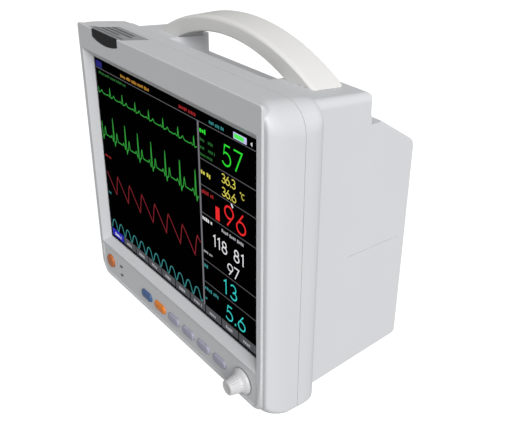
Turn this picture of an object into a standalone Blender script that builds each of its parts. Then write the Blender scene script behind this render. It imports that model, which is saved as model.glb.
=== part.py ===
"""Bedside patient monitor with a 12.1 inch screen, as separate named pieces.

X is right seen from the front, Y runs to the rear and Z is up. The origin is on
the table, under the middle of the monitor. Dimensions are in millimetres, and
the mesh builders turn them into metres.
"""
import math

import bmesh
import bpy
from mathutils import Matrix, Vector

MM = 0.001
GAP = 0.3            # clearance left between touching pieces
WALL = 2.5           # thickness of the moulded walls
PAST = 5.0           # how far a cutter runs past the surface that it cuts
BEYOND = 320.0       # a height or depth that is outside the monitor
ARC_STEPS = 4        # facets in a rounded corner
RIM_STEPS = 3        # facets in a rounded rim
ROUND_STEPS = 24     # facets round a turned piece

# Screen: a 12.1 inch, 4:3 panel sets the scale of everything else.
SCREEN_W = 246.0
SCREEN_H = 184.5
SCREEN_Z = 146.0

# Planes from the front to the rear.
CREST_Y = -70.8      # rim that stands round the screen
LIP_Y = -64.3        # inner end of the bevelled opening
BEZEL_BACK_Y = -63.5
GLASS_Y = -63.2
PARTING_Y = -39.0    # joint between the bezel and the housing
SHOULDER_Y = -20.0   # rear of the display head
TOWER_REAR_Y = 36.5  # rear of the two towers that carry the handle
REAR_Y = 87.0

# Display head, the wide slab at the front.
HEAD_BOTTOM = 2.8
HEAD_TOP = 270.4
HEAD_HALF = 146.0
HEAD_STEPS = 5       # facets in a rounded corner of the head
HEAD_SLOPE = -0.14   # fall of the top of the head towards the rear
HEAD_SECTIONS = (
    # y, half width, bottom, drop from the sloping top, corner radii: bottom, right, left
    (CREST_Y, 137.2, 8.8, 0.9, 9.0, 2.6, 3.0),
    (-70.4, 138.0, 8.0, 0.2, 9.0, 3.0, 3.0),
    (-69.9, 138.2, 7.8, 0.0, 9.0, 3.3, 3.3),
    (-69.1, 138.3, 7.7, 0.0, 9.0, 3.7, 3.6),
    (-68.8, 142.2, 7.6, 0.0, 8.8, 4.2, 4.0),
    (-67.6, 143.4, 7.0, 0.0, 8.4, 6.0, 5.0),
    (-65.0, 144.5, 6.2, 0.0, 7.0, 9.0, 6.5),
    (-61.0, 145.3, 5.0, 0.0, 6.0, 14.0, 8.5),
    (-56.0, 145.9, 3.9, 0.0, 5.0, 19.0, 10.5),
    (-50.0, HEAD_HALF, HEAD_BOTTOM, 0.0, 3.0, 23.0, 9.0),
    (PARTING_Y, HEAD_HALF, HEAD_BOTTOM, 0.0, 3.0, 22.0, 8.0),
    (-31.0, HEAD_HALF, HEAD_BOTTOM, 0.0, 3.0, 21.0, 8.0),
    (-26.0, 145.6, 3.3, 0.0, 3.0, 19.0, 8.0),
    (-23.0, 144.8, 4.4, 0.0, 3.0, 18.0, 8.0),
    (SHOULDER_Y, 142.2, 7.4, 1.6, 3.0, 16.0, 8.0),
)
OPENING_HALF_W = 132.4
OPENING_BOTTOM = 45.0
OPENING_TOP = 248.2
WINDOW_MARGIN = 2.5
POCKET_HALF_W = 134.0
POCKET_RANGES = {"strip": (10.5, 42.0), "top": (250.0, 265.0)}
POCKET_Y = -67.8     # inner face of the front wall over the control strip

# Rear case, narrower than the head. Its side profile runs anticlockwise (Y, Z).
CASE_HALF_W = 133.0
CASE_EDGE_R = 2.0
TOWER_EDGE_R = 7.0   # rounding along the outer top edges of the towers
CASE_PROFILE = (
    (PARTING_Y + 3.0, 3.0),
    (REAR_Y, 16.6),
    (REAR_Y, 205.5),
    (TOWER_REAR_Y, 238.5),
    (TOWER_REAR_Y, 255.4),
    (PARTING_Y + 3.0, 261.8),
)
CASE_PROFILE_RADII = (0.0, 4.5, 9.0, 0.0, 3.0, 0.0)
RECESS_HALF_W = 73.0
RECESS_FLOOR = 230.8
RECESS_FRONT_Y = SHOULDER_Y - 0.4
RECESS_FLARE_R = 18.0

# Carrying handle, an arched strap that stands on the two towers.
HANDLE_FRONT_Y = -2.5
HANDLE_REAR_Y = 25.5
HANDLE_OUTER_HALF = 111.0
HANDLE_INNER_HALF = 76.0
HANDLE_TOP = 289.2
HANDLE_ARCH_TOP = 275.0
HANDLE_OUTER_FOOT = 258.5
HANDLE_INNER_FOOT = 259.0
HANDLE_ROOT_Z = 240.0
HANDLE_FRONT_R = 4.0
HANDLE_REAR_R = 1.5

# Control strip under the screen.
KEY_COUNT = 6
KEY_FIRST_X = -44.0
KEY_PITCH = 24.8
KEY_Z = 24.2
KEY_W = 18.0
KEY_H = 8.6
KEY_R = 3.4
KEY_PROUD = 1.5
KEY_EDGE_R = 0.9
POWER_X = -117.7
POWER_Z = 27.2
POWER_R = 7.0
LAMP_X = -95.5
LAMP_ZS = {"power_light_pipe": 30.8, "battery_light_pipe": 20.7}
LAMP_W = 4.0
LAMP_H = 1.6
LAMP_REAR_Y = -65.3
FLANGE = 1.5         # lip that holds a key or button behind the panel
FLANGE_T = 1.2
KNOB_X = 112.7
KNOB_Z = 25.1
KNOB_BASE_R = 11.6
KNOB_TIP_R = 6.6
KNOB_TIP_Y = -86.0
KNOB_BASE_Y = -70.6
KNOB_BORE = 10.7
WELL_R = 12.6
WELL_Y = -69.6
SHAFT_R = 3.0
SHAFT_Y = (-81.0, -62.9)
BUSHING_R = 4.5
BUSHING_Y = -69.8
ENCODER_HALF_W = 7.5
ENCODER_Y = (-67.5, -59.0)
PLUNGER_Y = (-62.6, -61.2)

# Alarm lens in the top left corner of the front rim.
LENS_LEFT = -109.0
LENS_RIGHT = -62.0
LENS_DROP_SIDE = 262.8
LENS_DROP_MID = 259.2
LENS_BACK_Y = -66.0
LAMP_BOARD_Y = (-64.8, -63.4)
ALARM_LAMP_COUNT = 4
ALARM_LAMP_PITCH = 11.0

# Interfaces.
SIDE_PANEL_Y = (-6.0, 66.0)
SIDE_PANEL_Z = (62.0, 202.0)
REAR_PLATE_X = (-22.0, 108.0)
REAR_PLATE_Z = (32.0, 82.0)
BATTERY_X = (-108.0, -34.0)
BATTERY_Z = (32.0, 86.0)
MOUNT_HALF = 48.0
MOUNT_Y = 30.0
MOUNT_HOLE_SPACING = 75.0
MOUNT_HOLE_R = 2.2
MOUNT_Z = 8.0
PLATE_OFFSET = 3.0   # the plate's holes are centred this far in front of MOUNT_Y
PLATE_T = 4.0
FOOT_X = 96.0
FOOT_FRONT_Y = -30.0
FOOT_REAR_Y = 66.0
FOOT_R = 8.0

# Vents, screws and sockets of the rear case.
VENT_ROWS = 8
VENT_HALF_W = 42.0
VENT_Z = 118.0
VENT_PITCH = 8.0
VENT_H = 3.0
SCREW_HEAD_R = 3.4
SCREW_SHANK_R = 1.5
SCREW_HOLE_R = 1.9
HOUSING_SCREWS = ((-120.0, 44.0), (120.0, 44.0), (-120.0, 176.0), (120.0, 176.0))
SOCKET_DEPTH = 12.0
EARTH_POST = (48.0, 42.0)

# Sockets on the left side.
SIDE_SOCKETS = (
    # name, y, z, flange radius, bore radius, height above the panel, finish
    ("ecg_socket", 16.0, 174.0, 13.0, 7.6, 2.4, "green_socket"),
    ("spo2_socket", 46.0, 174.0, 11.0, 5.6, 2.4, "blue_socket"),
    ("cuff_hose_fitting", 46.0, 138.0, 9.0, 2.6, 7.0, "steel"),
    ("temperature_socket_1", 12.0, 142.0, 6.5, 1.9, 1.8, "grey_trim"),
    ("temperature_socket_2", 12.0, 120.0, 6.5, 1.9, 1.8, "grey_trim"),
    ("gas_sample_socket", 46.0, 104.0, 10.0, 4.6, 3.0, "grey_trim"),
)

# Ports on the rear plate.
REAR_PORTS = (
    # name, x, z, half width, half height, wall, depth, finish
    ("mains_inlet", 80.0, 57.0, 12.0, 8.2, 2.0, 17.0, "black_plastic"),
    ("network_port", 34.0, 60.0, 6.0, 4.6, 1.6, 12.0, "steel"),
    ("video_port", 6.0, 60.0, 8.6, 4.4, 1.4, 7.0, "steel"),
)

# Chassis, a plate behind the screen with a floor and two flanges.
CHASSIS_HALF_W = 126.0
CHASSIS_Z = (26.0, 226.0)
CHASSIS_T = 1.4
CHASSIS_REAR_Y = 80.0
CHASSIS_FLANGE_W = 13.0
CHASSIS_FLANGE_TOP = 186.0

# Circuit boards: the bare board as its low and high corners, then the parts on it.
BOARDS = {
    "display_driver_board": (
        ((-60.0, -50.0, 110.0), (60.0, -48.4, 170.0)), (
            ("transformer", (-50.0, -49.0, 118.0), (-20.0, -43.5, 140.0)),
            ("controller", (5.0, -49.0, 120.0), (30.0, -45.5, 145.0)))),
    "key_board": (
        ((-129.0, -65.0, 12.0), (101.0, -63.4, 40.0)), (
            ("connector", (-20.0, -64.0, 14.0), (10.0, -58.0, 22.0)),)),
    "main_board": (
        ((-108.0, -34.0, 92.0), (108.0, -32.4, 222.0)), (
            ("processor", (-20.0, -33.0, 130.0), (15.0, -28.4, 165.0)),
            ("memory", (30.0, -33.0, 135.0), (60.0, -29.9, 150.0)),
            ("power_stage", (-95.0, -33.0, 100.0), (-60.0, -23.4, 125.0)),
            ("header", (60.0, -33.0, 100.0), (100.0, -22.4, 108.0)))),
    "measuring_board": (
        ((-112.0, -24.0, 92.0), (-110.4, 72.0, 202.0)), (
            ("shield_can", (-111.0, 5.0, 110.0), (-104.0, 45.0, 150.0)),
            ("isolator", (-111.0, 0.0, 165.0), (-106.5, 30.0, 190.0)))),
    "power_supply": (
        ((22.0, 2.0, 32.0), (104.0, 58.0, 34.0)), (
            ("transformer", (30.0, 10.0, 33.0), (58.0, 40.0, 58.0)),
            ("heat_sink", (66.0, 8.0, 33.0), (72.0, 52.0, 56.0)))),
}

# Route of the hose from the cuff fitting to the valve, as points on its centreline.
HOSE_R = 2.0
HOSE_ROUTE = (
    (-124.4, 46.0, 138.0), (-121.8, 46.0, 137.6), (-118.6, 46.0, 131.0),
    (-118.6, 46.0, 114.0), (-118.6, 46.0, 98.0), (-115.5, 46.0, 90.0),
    (-107.0, 45.5, 87.6), (-86.0, 43.0, 87.6), (-62.0, 38.0, 87.6),
    (-46.0, 32.5, 88.0), (-37.0, 30.0, 92.5), (-36.0, 30.0, 98.4),
)

FINISHES = {
    "case": ((0.72, 0.72, 0.74), 0.45, 0.0),
    "grey_trim": ((0.42, 0.43, 0.45), 0.5, 0.0),
    "smoked_lens": ((0.01, 0.01, 0.012), 0.1, 0.0),
    "glass": ((0.005, 0.005, 0.006), 0.08, 0.0),
    "orange_key": ((0.72, 0.26, 0.04), 0.45, 0.0),
    "blue_key": ((0.08, 0.15, 0.32), 0.45, 0.0),
    "pale_key": ((0.38, 0.40, 0.47), 0.45, 0.0),
    "lamp": ((0.12, 0.12, 0.13), 0.3, 0.0),
    "steel": ((0.6, 0.6, 0.62), 0.3, 1.0),
    "brass": ((0.75, 0.6, 0.3), 0.3, 1.0),
    "board": ((0.02, 0.16, 0.07), 0.5, 0.0),
    "black_plastic": ((0.03, 0.03, 0.03), 0.5, 0.0),
    "rubber": ((0.04, 0.04, 0.04), 0.8, 0.0),
    "battery": ((0.1, 0.12, 0.2), 0.5, 0.0),
    "blue_socket": ((0.05, 0.12, 0.35), 0.4, 0.0),
    "green_socket": ((0.05, 0.3, 0.12), 0.4, 0.0),
}


# ---------------------------------------------------------------- scene set-up

def clear_scene():
    """Remove every object and the collections left by an earlier run."""
    for obj in list(bpy.data.objects):
        bpy.data.objects.remove(obj, do_unlink=True)
    for collection in list(bpy.data.collections):
        bpy.data.collections.remove(collection)


def make_collection(name):
    collection = bpy.data.collections.new(name)
    bpy.context.scene.collection.children.link(collection)
    return collection


clear_scene()
PIECES = make_collection("patient_monitor")
CUTTERS = make_collection("cutters")


def make_material(name, finish):
    colour, roughness, metallic = FINISHES[finish]
    material = bpy.data.materials.new(name + "_material")
    material.use_nodes = True
    shader = material.node_tree.nodes["Principled BSDF"]
    shader.inputs["Base Color"].default_value = (*colour, 1.0)
    shader.inputs["Roughness"].default_value = roughness
    shader.inputs["Metallic"].default_value = metallic
    return material


# ------------------------------------------------------------- mesh builders

def box(low, high):
    """Box between two corners."""
    bm = bmesh.new()
    bmesh.ops.create_cube(bm, size=1.0)
    size = Vector(high) - Vector(low)
    centre = (Vector(high) + Vector(low)) / 2
    bm.transform(Matrix.Translation(centre) @ Matrix.Diagonal((*size, 1.0)))
    return bm


AXIS_FRAMES = {
    "X": Matrix(((0, 0, 1, 0), (1, 0, 0, 0), (0, 1, 0, 0), (0, 0, 0, 1))),
    "Y": Matrix(((1, 0, 0, 0), (0, 0, -1, 0), (0, 1, 0, 0), (0, 0, 0, 1))),
    "Z": Matrix.Identity(4),
}


def cylinder(centre, radius, start, end, axis="Y", end_radius=None, steps=ROUND_STEPS):
    """Cylinder or cone along an axis. The centre is given in the plane across it."""
    bm = bmesh.new()
    first, last = (radius, end_radius or radius)
    if axis == "Y":
        first, last = last, first
    bmesh.ops.create_cone(
        bm, cap_ends=True, segments=steps, radius1=first, radius2=last, depth=end - start)
    middle = (start + end) / 2
    along = -middle if axis == "Y" else middle
    bm.transform(AXIS_FRAMES[axis] @ Matrix.Translation((*centre, along)))
    return bm


def prism(outline, start, end, axis, round_start=0.0, round_end=0.0):
    """Solid of a flat outline, given across the axis, from start to end along it.

    Each end can have a rounded rim, lofted through outlines that shrink towards it.
    """
    levels = rim_arc(start, round_start, 1.0) + list(reversed(rim_arc(end, round_end, -1.0)))
    return loft([(level, inset(outline, shrink)) for level, shrink in levels], axis)


def loft(rings, axis):
    """Solid through outlines that have the same number of points, each at its own level."""
    bm = bmesh.new()
    loops = []
    for level, outline in rings:
        along = -level if axis == "Y" else level
        loops.append([bm.verts.new((*point, along)) for point in outline])
    bm.faces.new(loops[0])
    bm.faces.new(loops[-1])
    for lower, upper in zip(loops, loops[1:]):
        for index in range(len(lower)):
            bm.faces.new((lower[index - 1], lower[index], upper[index], upper[index - 1]))
    bm.transform(AXIS_FRAMES[axis])
    return bm


def rim_arc(level, radius, inwards):
    """Levels along the axis, each with its shrink, from the end face to the full outline."""
    steps = RIM_STEPS if radius else 0
    arc = []
    for step in range(steps + 1):
        angle = math.pi / 2 * step / max(steps, 1)
        height = level + inwards * radius * (1.0 - math.cos(angle))
        arc.append((height, radius * (1.0 - math.sin(angle))))
    return arc


def inset(corners, distance):
    """Anticlockwise outline moved inwards by a distance."""
    moved = []
    count = len(corners)
    for index in range(count):
        here = Vector(corners[index])
        arriving = (here - Vector(corners[index - 1])).normalized()
        leaving = (Vector(corners[(index + 1) % count]) - here).normalized()
        normals = (Vector((-arriving.y, arriving.x)), Vector((-leaving.y, leaving.x)))
        shift = (normals[0] + normals[1]) / (1.0 + normals[0].dot(normals[1]))
        moved.append(here + shift * distance)
    return moved


def fillet(corners, radii, steps=ARC_STEPS):
    """Outline whose corners are rounded by arcs; a radius of 0 keeps a corner."""
    outline = []
    count = len(corners)
    for index, radius in enumerate(radii):
        corner = Vector(corners[index])
        if radius <= 0.0:
            outline.append(tuple(corner))
            continue
        back = (Vector(corners[index - 1]) - corner).normalized()
        ahead = (Vector(corners[(index + 1) % count]) - corner).normalized()
        half = back.angle(ahead) / 2
        centre = corner + (back + ahead).normalized() * radius / math.sin(half)
        start = corner + back * radius / math.tan(half) - centre
        end = corner + ahead * radius / math.tan(half) - centre
        turn = start.angle_signed(end)
        for step in range(steps + 1):
            spoke = start.copy()
            spoke.rotate(Matrix.Rotation(-turn * step / steps, 2))
            outline.append(tuple(centre + spoke))
    return outline


def rectangle(x_range, z_range, radius=0.0, steps=ARC_STEPS):
    """Anticlockwise rectangle with rounded corners."""
    (x0, x1), (z0, z1) = x_range, z_range
    corners = [(x0, z0), (x1, z0), (x1, z1), (x0, z1)]
    return fillet(corners, [radius] * 4, steps)


def circle(centre, radius, steps=ROUND_STEPS):
    """Anticlockwise circle."""
    angles = [2.0 * math.pi * step / steps for step in range(steps)]
    return [(centre[0] + radius * math.cos(a), centre[1] + radius * math.sin(a)) for a in angles]


# ----------------------------------------------------------- object builders

def store(name, bm, collection):
    bmesh.ops.recalc_face_normals(bm, faces=bm.faces)
    if bm.calc_volume(signed=True) < 0.0:
        bmesh.ops.reverse_faces(bm, faces=bm.faces)
    bm.transform(Matrix.Scale(MM, 4))
    mesh = bpy.data.meshes.new(name)
    bm.to_mesh(mesh)
    bm.free()
    obj = bpy.data.objects.new(name, mesh)
    collection.objects.link(obj)
    return obj


def piece(name, bm, finish, smooth_angle=None):
    """Add one sub-part of the monitor."""
    obj = store(name, bm, PIECES)
    obj.data.materials.append(make_material(name, finish))
    if smooth_angle:
        obj.data.shade_smooth()
        obj.data.set_sharp_from_angle(angle=math.radians(smooth_angle))
    return obj


def tool(name, bm):
    """Add a solid that only cuts, or is joined to, a sub-part."""
    obj = store(name, bm, CUTTERS)
    obj.hide_render = True
    obj.display_type = "WIRE"
    return obj


def combine(obj, operation, other, name):
    """Add a Boolean. The other solid is a mesh builder's result or an object."""
    if not isinstance(other, bpy.types.Object):
        other = tool(obj.name + "_" + name, other)
    modifier = obj.modifiers.new(name, "BOOLEAN")
    modifier.operation = operation
    modifier.solver = "EXACT"
    modifier.object = other


def cut(obj, other, name):
    """Cut a solid out of an object."""
    combine(obj, "DIFFERENCE", other, name)


def join(obj, other, name):
    """Join a solid onto an object."""
    combine(obj, "UNION", other, name)


def set_origin(obj, point):
    """Move an object's origin to a point and leave its shape where it is."""
    offset = Vector(point) * MM
    obj.data.transform(Matrix.Translation(-offset))
    obj.location = offset


def turned(name, profile, origin, axis_matrix, finish):
    """Turned solid. The profile is (radius, height) from top to bottom."""
    bm = bmesh.new()
    verts = [bm.verts.new((radius, 0.0, height)) for radius, height in profile]
    for first, second in zip(verts, verts[1:]):
        bm.edges.new((first, second))
    bm.transform(Matrix.Scale(MM, 4))
    mesh = bpy.data.meshes.new(name)
    bm.to_mesh(mesh)
    bm.free()
    obj = bpy.data.objects.new(name, mesh)
    PIECES.objects.link(obj)
    mesh.materials.append(make_material(name, finish))
    screw = obj.modifiers.new("turn", "SCREW")
    screw.steps = ROUND_STEPS
    screw.render_steps = ROUND_STEPS
    screw.use_merge_vertices = True
    screw.merge_threshold = 0.00001
    screw.use_smooth_shade = True
    obj.matrix_world = Matrix.Translation(Vector(origin) * MM) @ axis_matrix


TO_LEFT = Matrix.Rotation(-math.pi / 2, 4, "Y")
TO_REAR = Matrix.Rotation(-math.pi / 2, 4, "X")
TO_FRONT = Matrix.Rotation(math.pi / 2, 4, "X")


# ------------------------------------------------------------------ housings

def roof(y):
    """Height of the sloping top of the head."""
    return HEAD_TOP + HEAD_SLOPE * (y - CREST_Y)


def head_outline(y, shrink):
    """Front view of the display head at a depth."""
    for here, ahead in zip(HEAD_SECTIONS, HEAD_SECTIONS[1:]):
        if y <= ahead[0] or ahead is HEAD_SECTIONS[-1]:
            break
    part = min((y - here[0]) / (ahead[0] - here[0]), 1.0)
    section = [a + (b - a) * part for a, b in zip(here, ahead)]
    _, half, bottom, drop, *radii = section
    top = roof(y) - drop
    corners = inset([(-half, bottom), (half, bottom), (half, top), (-half, top)], shrink)
    bottom_r, right_r, left_r = [max(radius - shrink, 1.0) for radius in radii]
    return fillet(corners, [bottom_r, bottom_r, right_r, left_r], HEAD_STEPS)


def head_solid(start, end, shrink=0.0):
    """Part of the display head between two depths."""
    between = [section[0] for section in HEAD_SECTIONS if start < section[0] < end]
    return loft([(y, head_outline(y, shrink)) for y in (start, *between, end)], "Y")


def front_bezel():
    """Front shell: raised rim, bevelled screen opening and control strip."""
    bezel = piece("front_bezel", head_solid(CREST_Y, PARTING_Y), "case", 40)
    cut(bezel, head_solid(BEZEL_BACK_Y, PARTING_Y + PAST, WALL), "cavity")

    window_half = SCREEN_W / 2 + WINDOW_MARGIN
    window_low = SCREEN_Z - SCREEN_H / 2 - WINDOW_MARGIN
    window_high = SCREEN_Z + SCREEN_H / 2 + WINDOW_MARGIN
    for label, (low, high) in POCKET_RANGES.items():
        pocket = box((-POCKET_HALF_W, POCKET_Y, low), (POCKET_HALF_W, BEZEL_BACK_Y + 1.0, high))
        cut(bezel, pocket, label + "_pocket")
    window = box(
        (-window_half, LIP_Y - 1.0, window_low), (window_half, PARTING_Y, window_high))
    cut(bezel, window, "window")
    flare = box(
        (-OPENING_HALF_W, CREST_Y, OPENING_BOTTOM), (OPENING_HALF_W, LIP_Y, OPENING_TOP))
    for vert in flare.verts:
        if vert.co.y > CREST_Y:
            vert.co.x = math.copysign(window_half, vert.co.x)
            vert.co.z = window_low if vert.co.z < SCREEN_Z else window_high
    cut(bezel, flare, "flare")

    through = (CREST_Y - PAST, BEZEL_BACK_Y + PAST)
    for index in range(KEY_COUNT):
        outline = key_outline(key_x(index), GAP)
        cut(bezel, prism(outline, *through, "Y"), "key_hole_" + str(index + 1))
    cut(bezel, cylinder((POWER_X, POWER_Z), POWER_R + GAP, *through), "power_hole")
    for name, height in LAMP_ZS.items():
        cut(bezel, lamp_solid(height, GAP, CREST_Y - PAST), name)
    knob = (KNOB_X, KNOB_Z)
    cut(bezel, cylinder(knob, WELL_R, CREST_Y - PAST, WELL_Y), "knob_well")
    cut(bezel, cylinder(knob, BUSHING_R + GAP, *through), "bushing_hole")
    seat = prism(lens_outline(0.0, HEAD_TOP + PAST), CREST_Y - PAST, LENS_BACK_Y + GAP, "Y")
    cut(bezel, seat, "lens_seat")


def housing_solid(name, shrink):
    """Rear housing filled in: display head, rear case and handle recess."""
    shell = shrink == 0.0
    start = PARTING_Y + GAP if shell else PARTING_Y - PAST
    head = head_solid(start, SHOULDER_Y - shrink, shrink)
    radii = [max(radius - shrink, 0.0) for radius in CASE_PROFILE_RADII]
    profile = fillet(inset(CASE_PROFILE, shrink), radii)
    half = CASE_HALF_W - shrink
    edge = max(CASE_EDGE_R - shrink, 0.0)
    case = tool(name + "_case", prism(profile, -half, half, "X", edge, edge))
    combine(case, "INTERSECT", tower_rounding(half, shrink), "rounding")

    side = RECESS_HALF_W + shrink
    rear = TOWER_REAR_Y - shrink
    corners = [
        (-side, RECESS_FRONT_Y - shrink), (side, RECESS_FRONT_Y - shrink), (side, rear),
        (BEYOND, rear), (BEYOND, BEYOND), (-BEYOND, BEYOND), (-BEYOND, rear), (-side, rear),
    ]
    flare = RECESS_FLARE_R - shrink
    outline = fillet(corners, [0, 0, flare, 0, 0, 0, 0, flare])
    recess = prism(outline, RECESS_FLOOR - shrink, BEYOND, "Z")

    solid = piece(name, head, "case", 40) if shell else tool(name, head)
    join(solid, case, "case")
    cut(solid, recess, "recess")
    return solid


def tower_rounding(half, shrink):
    """Block whose upper edges are rounded and follow the sloping tops of the towers."""
    (rear_y, rear_z), (front_y, front_z) = CASE_PROFILE[4:6]
    slope = (rear_z - front_z) / (rear_y - front_y)
    radius = TOWER_EDGE_R - shrink
    top = front_z - shrink
    low = top - radius
    wide = half + PAST
    below = [(-wide, low - PAST), (-wide, -BEYOND), (wide, -BEYOND), (wide, low - PAST)]
    arch = fillet([(-half, 0.0), (half, 0.0), (half, top), (-half, top)], [0, 0, radius, radius])
    block = prism(below + arch[2:], front_y - PAST, REAR_Y + PAST, "Y")
    for vert in block.verts:
        vert.co.z += slope * (vert.co.y - front_y)
    return block


def key_x(index):
    return KEY_FIRST_X + KEY_PITCH * index


def key_outline(x, grow):
    half_w = KEY_W / 2 + grow
    half_h = KEY_H / 2 + grow
    return rectangle(
        (x - half_w, x + half_w), (KEY_Z - half_h, KEY_Z + half_h), KEY_R + grow)


def lamp_solid(height, grow, front):
    """Light pipe of an indicator, or the hole for it."""
    half_w = LAMP_W / 2 + grow
    half_h = LAMP_H / 2 + grow
    return box(
        (LAMP_X - half_w, front, height - half_h),
        (LAMP_X + half_w, LAMP_REAR_Y, height + half_h))


def lens_outline(shrink, top):
    """Front view of the alarm lens, with a shallow arc along its lower edge."""
    left = LENS_LEFT + shrink
    right = LENS_RIGHT - shrink
    half = (right - left) / 2
    rise = LENS_DROP_SIDE - LENS_DROP_MID
    outline = []
    steps = 8
    for step in range(steps + 1):
        along = -1.0 + 2.0 * step / steps
        height = LENS_DROP_MID + shrink + rise * along * along
        outline.append((left + half * (1.0 + along), height))
    return outline + [(right, top), (left, top)]


def rear_housing():
    """Rear shell with its openings for the panels, the vents and the screws."""
    housing = housing_solid("rear_housing", 0.0)
    cut(housing, housing_solid("housing_cavity", WALL), "cavity")
    side_window = rectangle(SIDE_PANEL_Y, SIDE_PANEL_Z, 5.0, 2)
    left = -CASE_HALF_W
    cut(housing, prism(side_window, left - PAST, left + PAST, "X"), "side_window")
    rear = (REAR_Y - PAST, REAR_Y + PAST)
    for label, x_range, z_range in (
            ("plate_window", REAR_PLATE_X, REAR_PLATE_Z),
            ("battery_window", BATTERY_X, BATTERY_Z)):
        cut(housing, prism(rectangle(x_range, z_range, 4.0, 2), *rear, "Y"), label)
    for row in range(VENT_ROWS):
        height = VENT_Z + VENT_PITCH * row
        slot = box((-VENT_HALF_W, rear[0], height), (VENT_HALF_W, rear[1], height + VENT_H))
        cut(housing, slot, "vent_" + str(row + 1))
    cut(housing, mount_block(0.0, 0.0, MOUNT_Z + 3 * PAST), "mount_window")
    for index, place in enumerate(HOUSING_SCREWS):
        label = str(index + 1)
        cut(housing, cylinder(place, SCREW_HOLE_R, *rear, steps=12), "screw_hole_" + label)
        sink = cylinder(place, SCREW_HEAD_R + 0.5, REAR_Y - 1.4, rear[1], steps=16)
        cut(housing, sink, "counterbore_" + label)


def mount_block(shrink, low, high):
    """Block as wide and as deep as the mounting plate's window."""
    half = MOUNT_HALF - shrink
    return box(
        (-half, MOUNT_Y - half, low), (half, MOUNT_Y - 2 * PLATE_OFFSET + half, high))


def mount_places():
    """Centres of the four screw holes for a stand."""
    half = MOUNT_HOLE_SPACING / 2
    middle = MOUNT_Y - PLATE_OFFSET
    return [(x, middle + y) for x in (-half, half) for y in (-half, half)]


def carry_handle():
    """Arched strap whose feet follow the sloping tops of the towers."""
    outer = arc_points(HANDLE_OUTER_HALF, HANDLE_OUTER_FOOT, HANDLE_TOP, 16)
    inner = arc_points(HANDLE_INNER_HALF, HANDLE_INNER_FOOT, HANDLE_ARCH_TOP, 14)
    outline = [(-HANDLE_OUTER_HALF, HANDLE_ROOT_Z), (-HANDLE_INNER_HALF, HANDLE_ROOT_Z)]
    outline += inner
    outline += [(HANDLE_INNER_HALF, HANDLE_ROOT_Z), (HANDLE_OUTER_HALF, HANDLE_ROOT_Z)]
    outline += list(reversed(outer))
    bm = prism(outline, HANDLE_FRONT_Y, HANDLE_REAR_Y, "Y", HANDLE_FRONT_R, HANDLE_REAR_R)
    handle = piece("carry_handle", bm, "case", 40)
    (rear_y, rear_z), (front_y, front_z) = CASE_PROFILE[4:6]
    slope = (rear_z - front_z) / (rear_y - front_y)
    foot = box((-BEYOND, HANDLE_FRONT_Y - PAST, 0.0), (BEYOND, HANDLE_REAR_Y + PAST, BEYOND))
    for vert in foot.verts:
        if vert.co.z > 0.0:
            vert.co.z = front_z + slope * (vert.co.y - front_y) + GAP
    cut(handle, foot, "foot")


def arc_points(half_span, foot_z, top_z, steps):
    """Circular arch from left to right through two feet and an apex."""
    rise = top_z - foot_z
    radius = (half_span ** 2 + rise ** 2) / (2.0 * rise)
    spread = math.asin(half_span / radius)
    points = []
    for step in range(steps + 1):
        angle = spread * (-1.0 + 2.0 * step / steps)
        points.append((radius * math.sin(angle), top_z - radius * (1.0 - math.cos(angle))))
    return points


# ------------------------------------------------------------------- display

def screen_slab(margin_x, margin_z, front, rear):
    """Box as large as the screen's active area plus a margin on each side."""
    half_w = SCREEN_W / 2 + margin_x
    half_h = SCREEN_H / 2 + margin_z
    return box((-half_w, front, SCREEN_Z - half_h), (half_w, rear, SCREEN_Z + half_h))


def display():
    """Panel, its steel frame and the backlight."""
    frame = piece("lcd_frame", screen_slab(9.0, 8.0, GLASS_Y - 0.1, -53.0), "steel")
    cut(frame, screen_slab(8.0, 7.0, GLASS_Y + 1.2, -50.0), "inside")
    cut(frame, screen_slab(1.9, 1.9, GLASS_Y - PAST, GLASS_Y + PAST), "face")
    piece("lcd_glass", screen_slab(1.6, 1.6, GLASS_Y, GLASS_Y + 1.5), "glass")
    piece("backlight_unit", screen_slab(7.6, 6.6, GLASS_Y + 1.9, -54.0), "steel")


# ------------------------------------------------------------ control strip

def flanged(name, cap, flange, finish, origin):
    """Cap that shows through the panel, on a wider lip behind it."""
    obj = piece(name, cap, finish, 40)
    join(obj, flange, "flange")
    set_origin(obj, origin)
    for modifier in obj.modifiers:
        set_origin(modifier.object, origin)


def controls():
    """Power button, function keys and the light pipes of the indicators."""
    flange_y = POCKET_Y + GAP
    front = CREST_Y - KEY_PROUD
    rear = flange_y + FLANGE_T
    cap = prism(circle((POWER_X, POWER_Z), POWER_R), front, rear - GAP, "Y", KEY_EDGE_R)
    flange = cylinder((POWER_X, POWER_Z), POWER_R + FLANGE, flange_y, rear)
    flanged("power_button", cap, flange, "orange_key", (POWER_X, flange_y, POWER_Z))
    finishes = ("blue_key", "orange_key") + ("pale_key",) * (KEY_COUNT - 2)
    for index, finish in enumerate(finishes):
        x = key_x(index)
        cap = prism(key_outline(x, 0.0), front, rear - GAP, "Y", KEY_EDGE_R)
        flange = prism(key_outline(x, FLANGE), flange_y, rear, "Y")
        flanged("function_key_" + str(index + 1), cap, flange, finish, (x, flange_y, KEY_Z))
    for name, height in LAMP_ZS.items():
        piece(name, lamp_solid(height, 0.0, CREST_Y - 0.2), "lamp")


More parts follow.
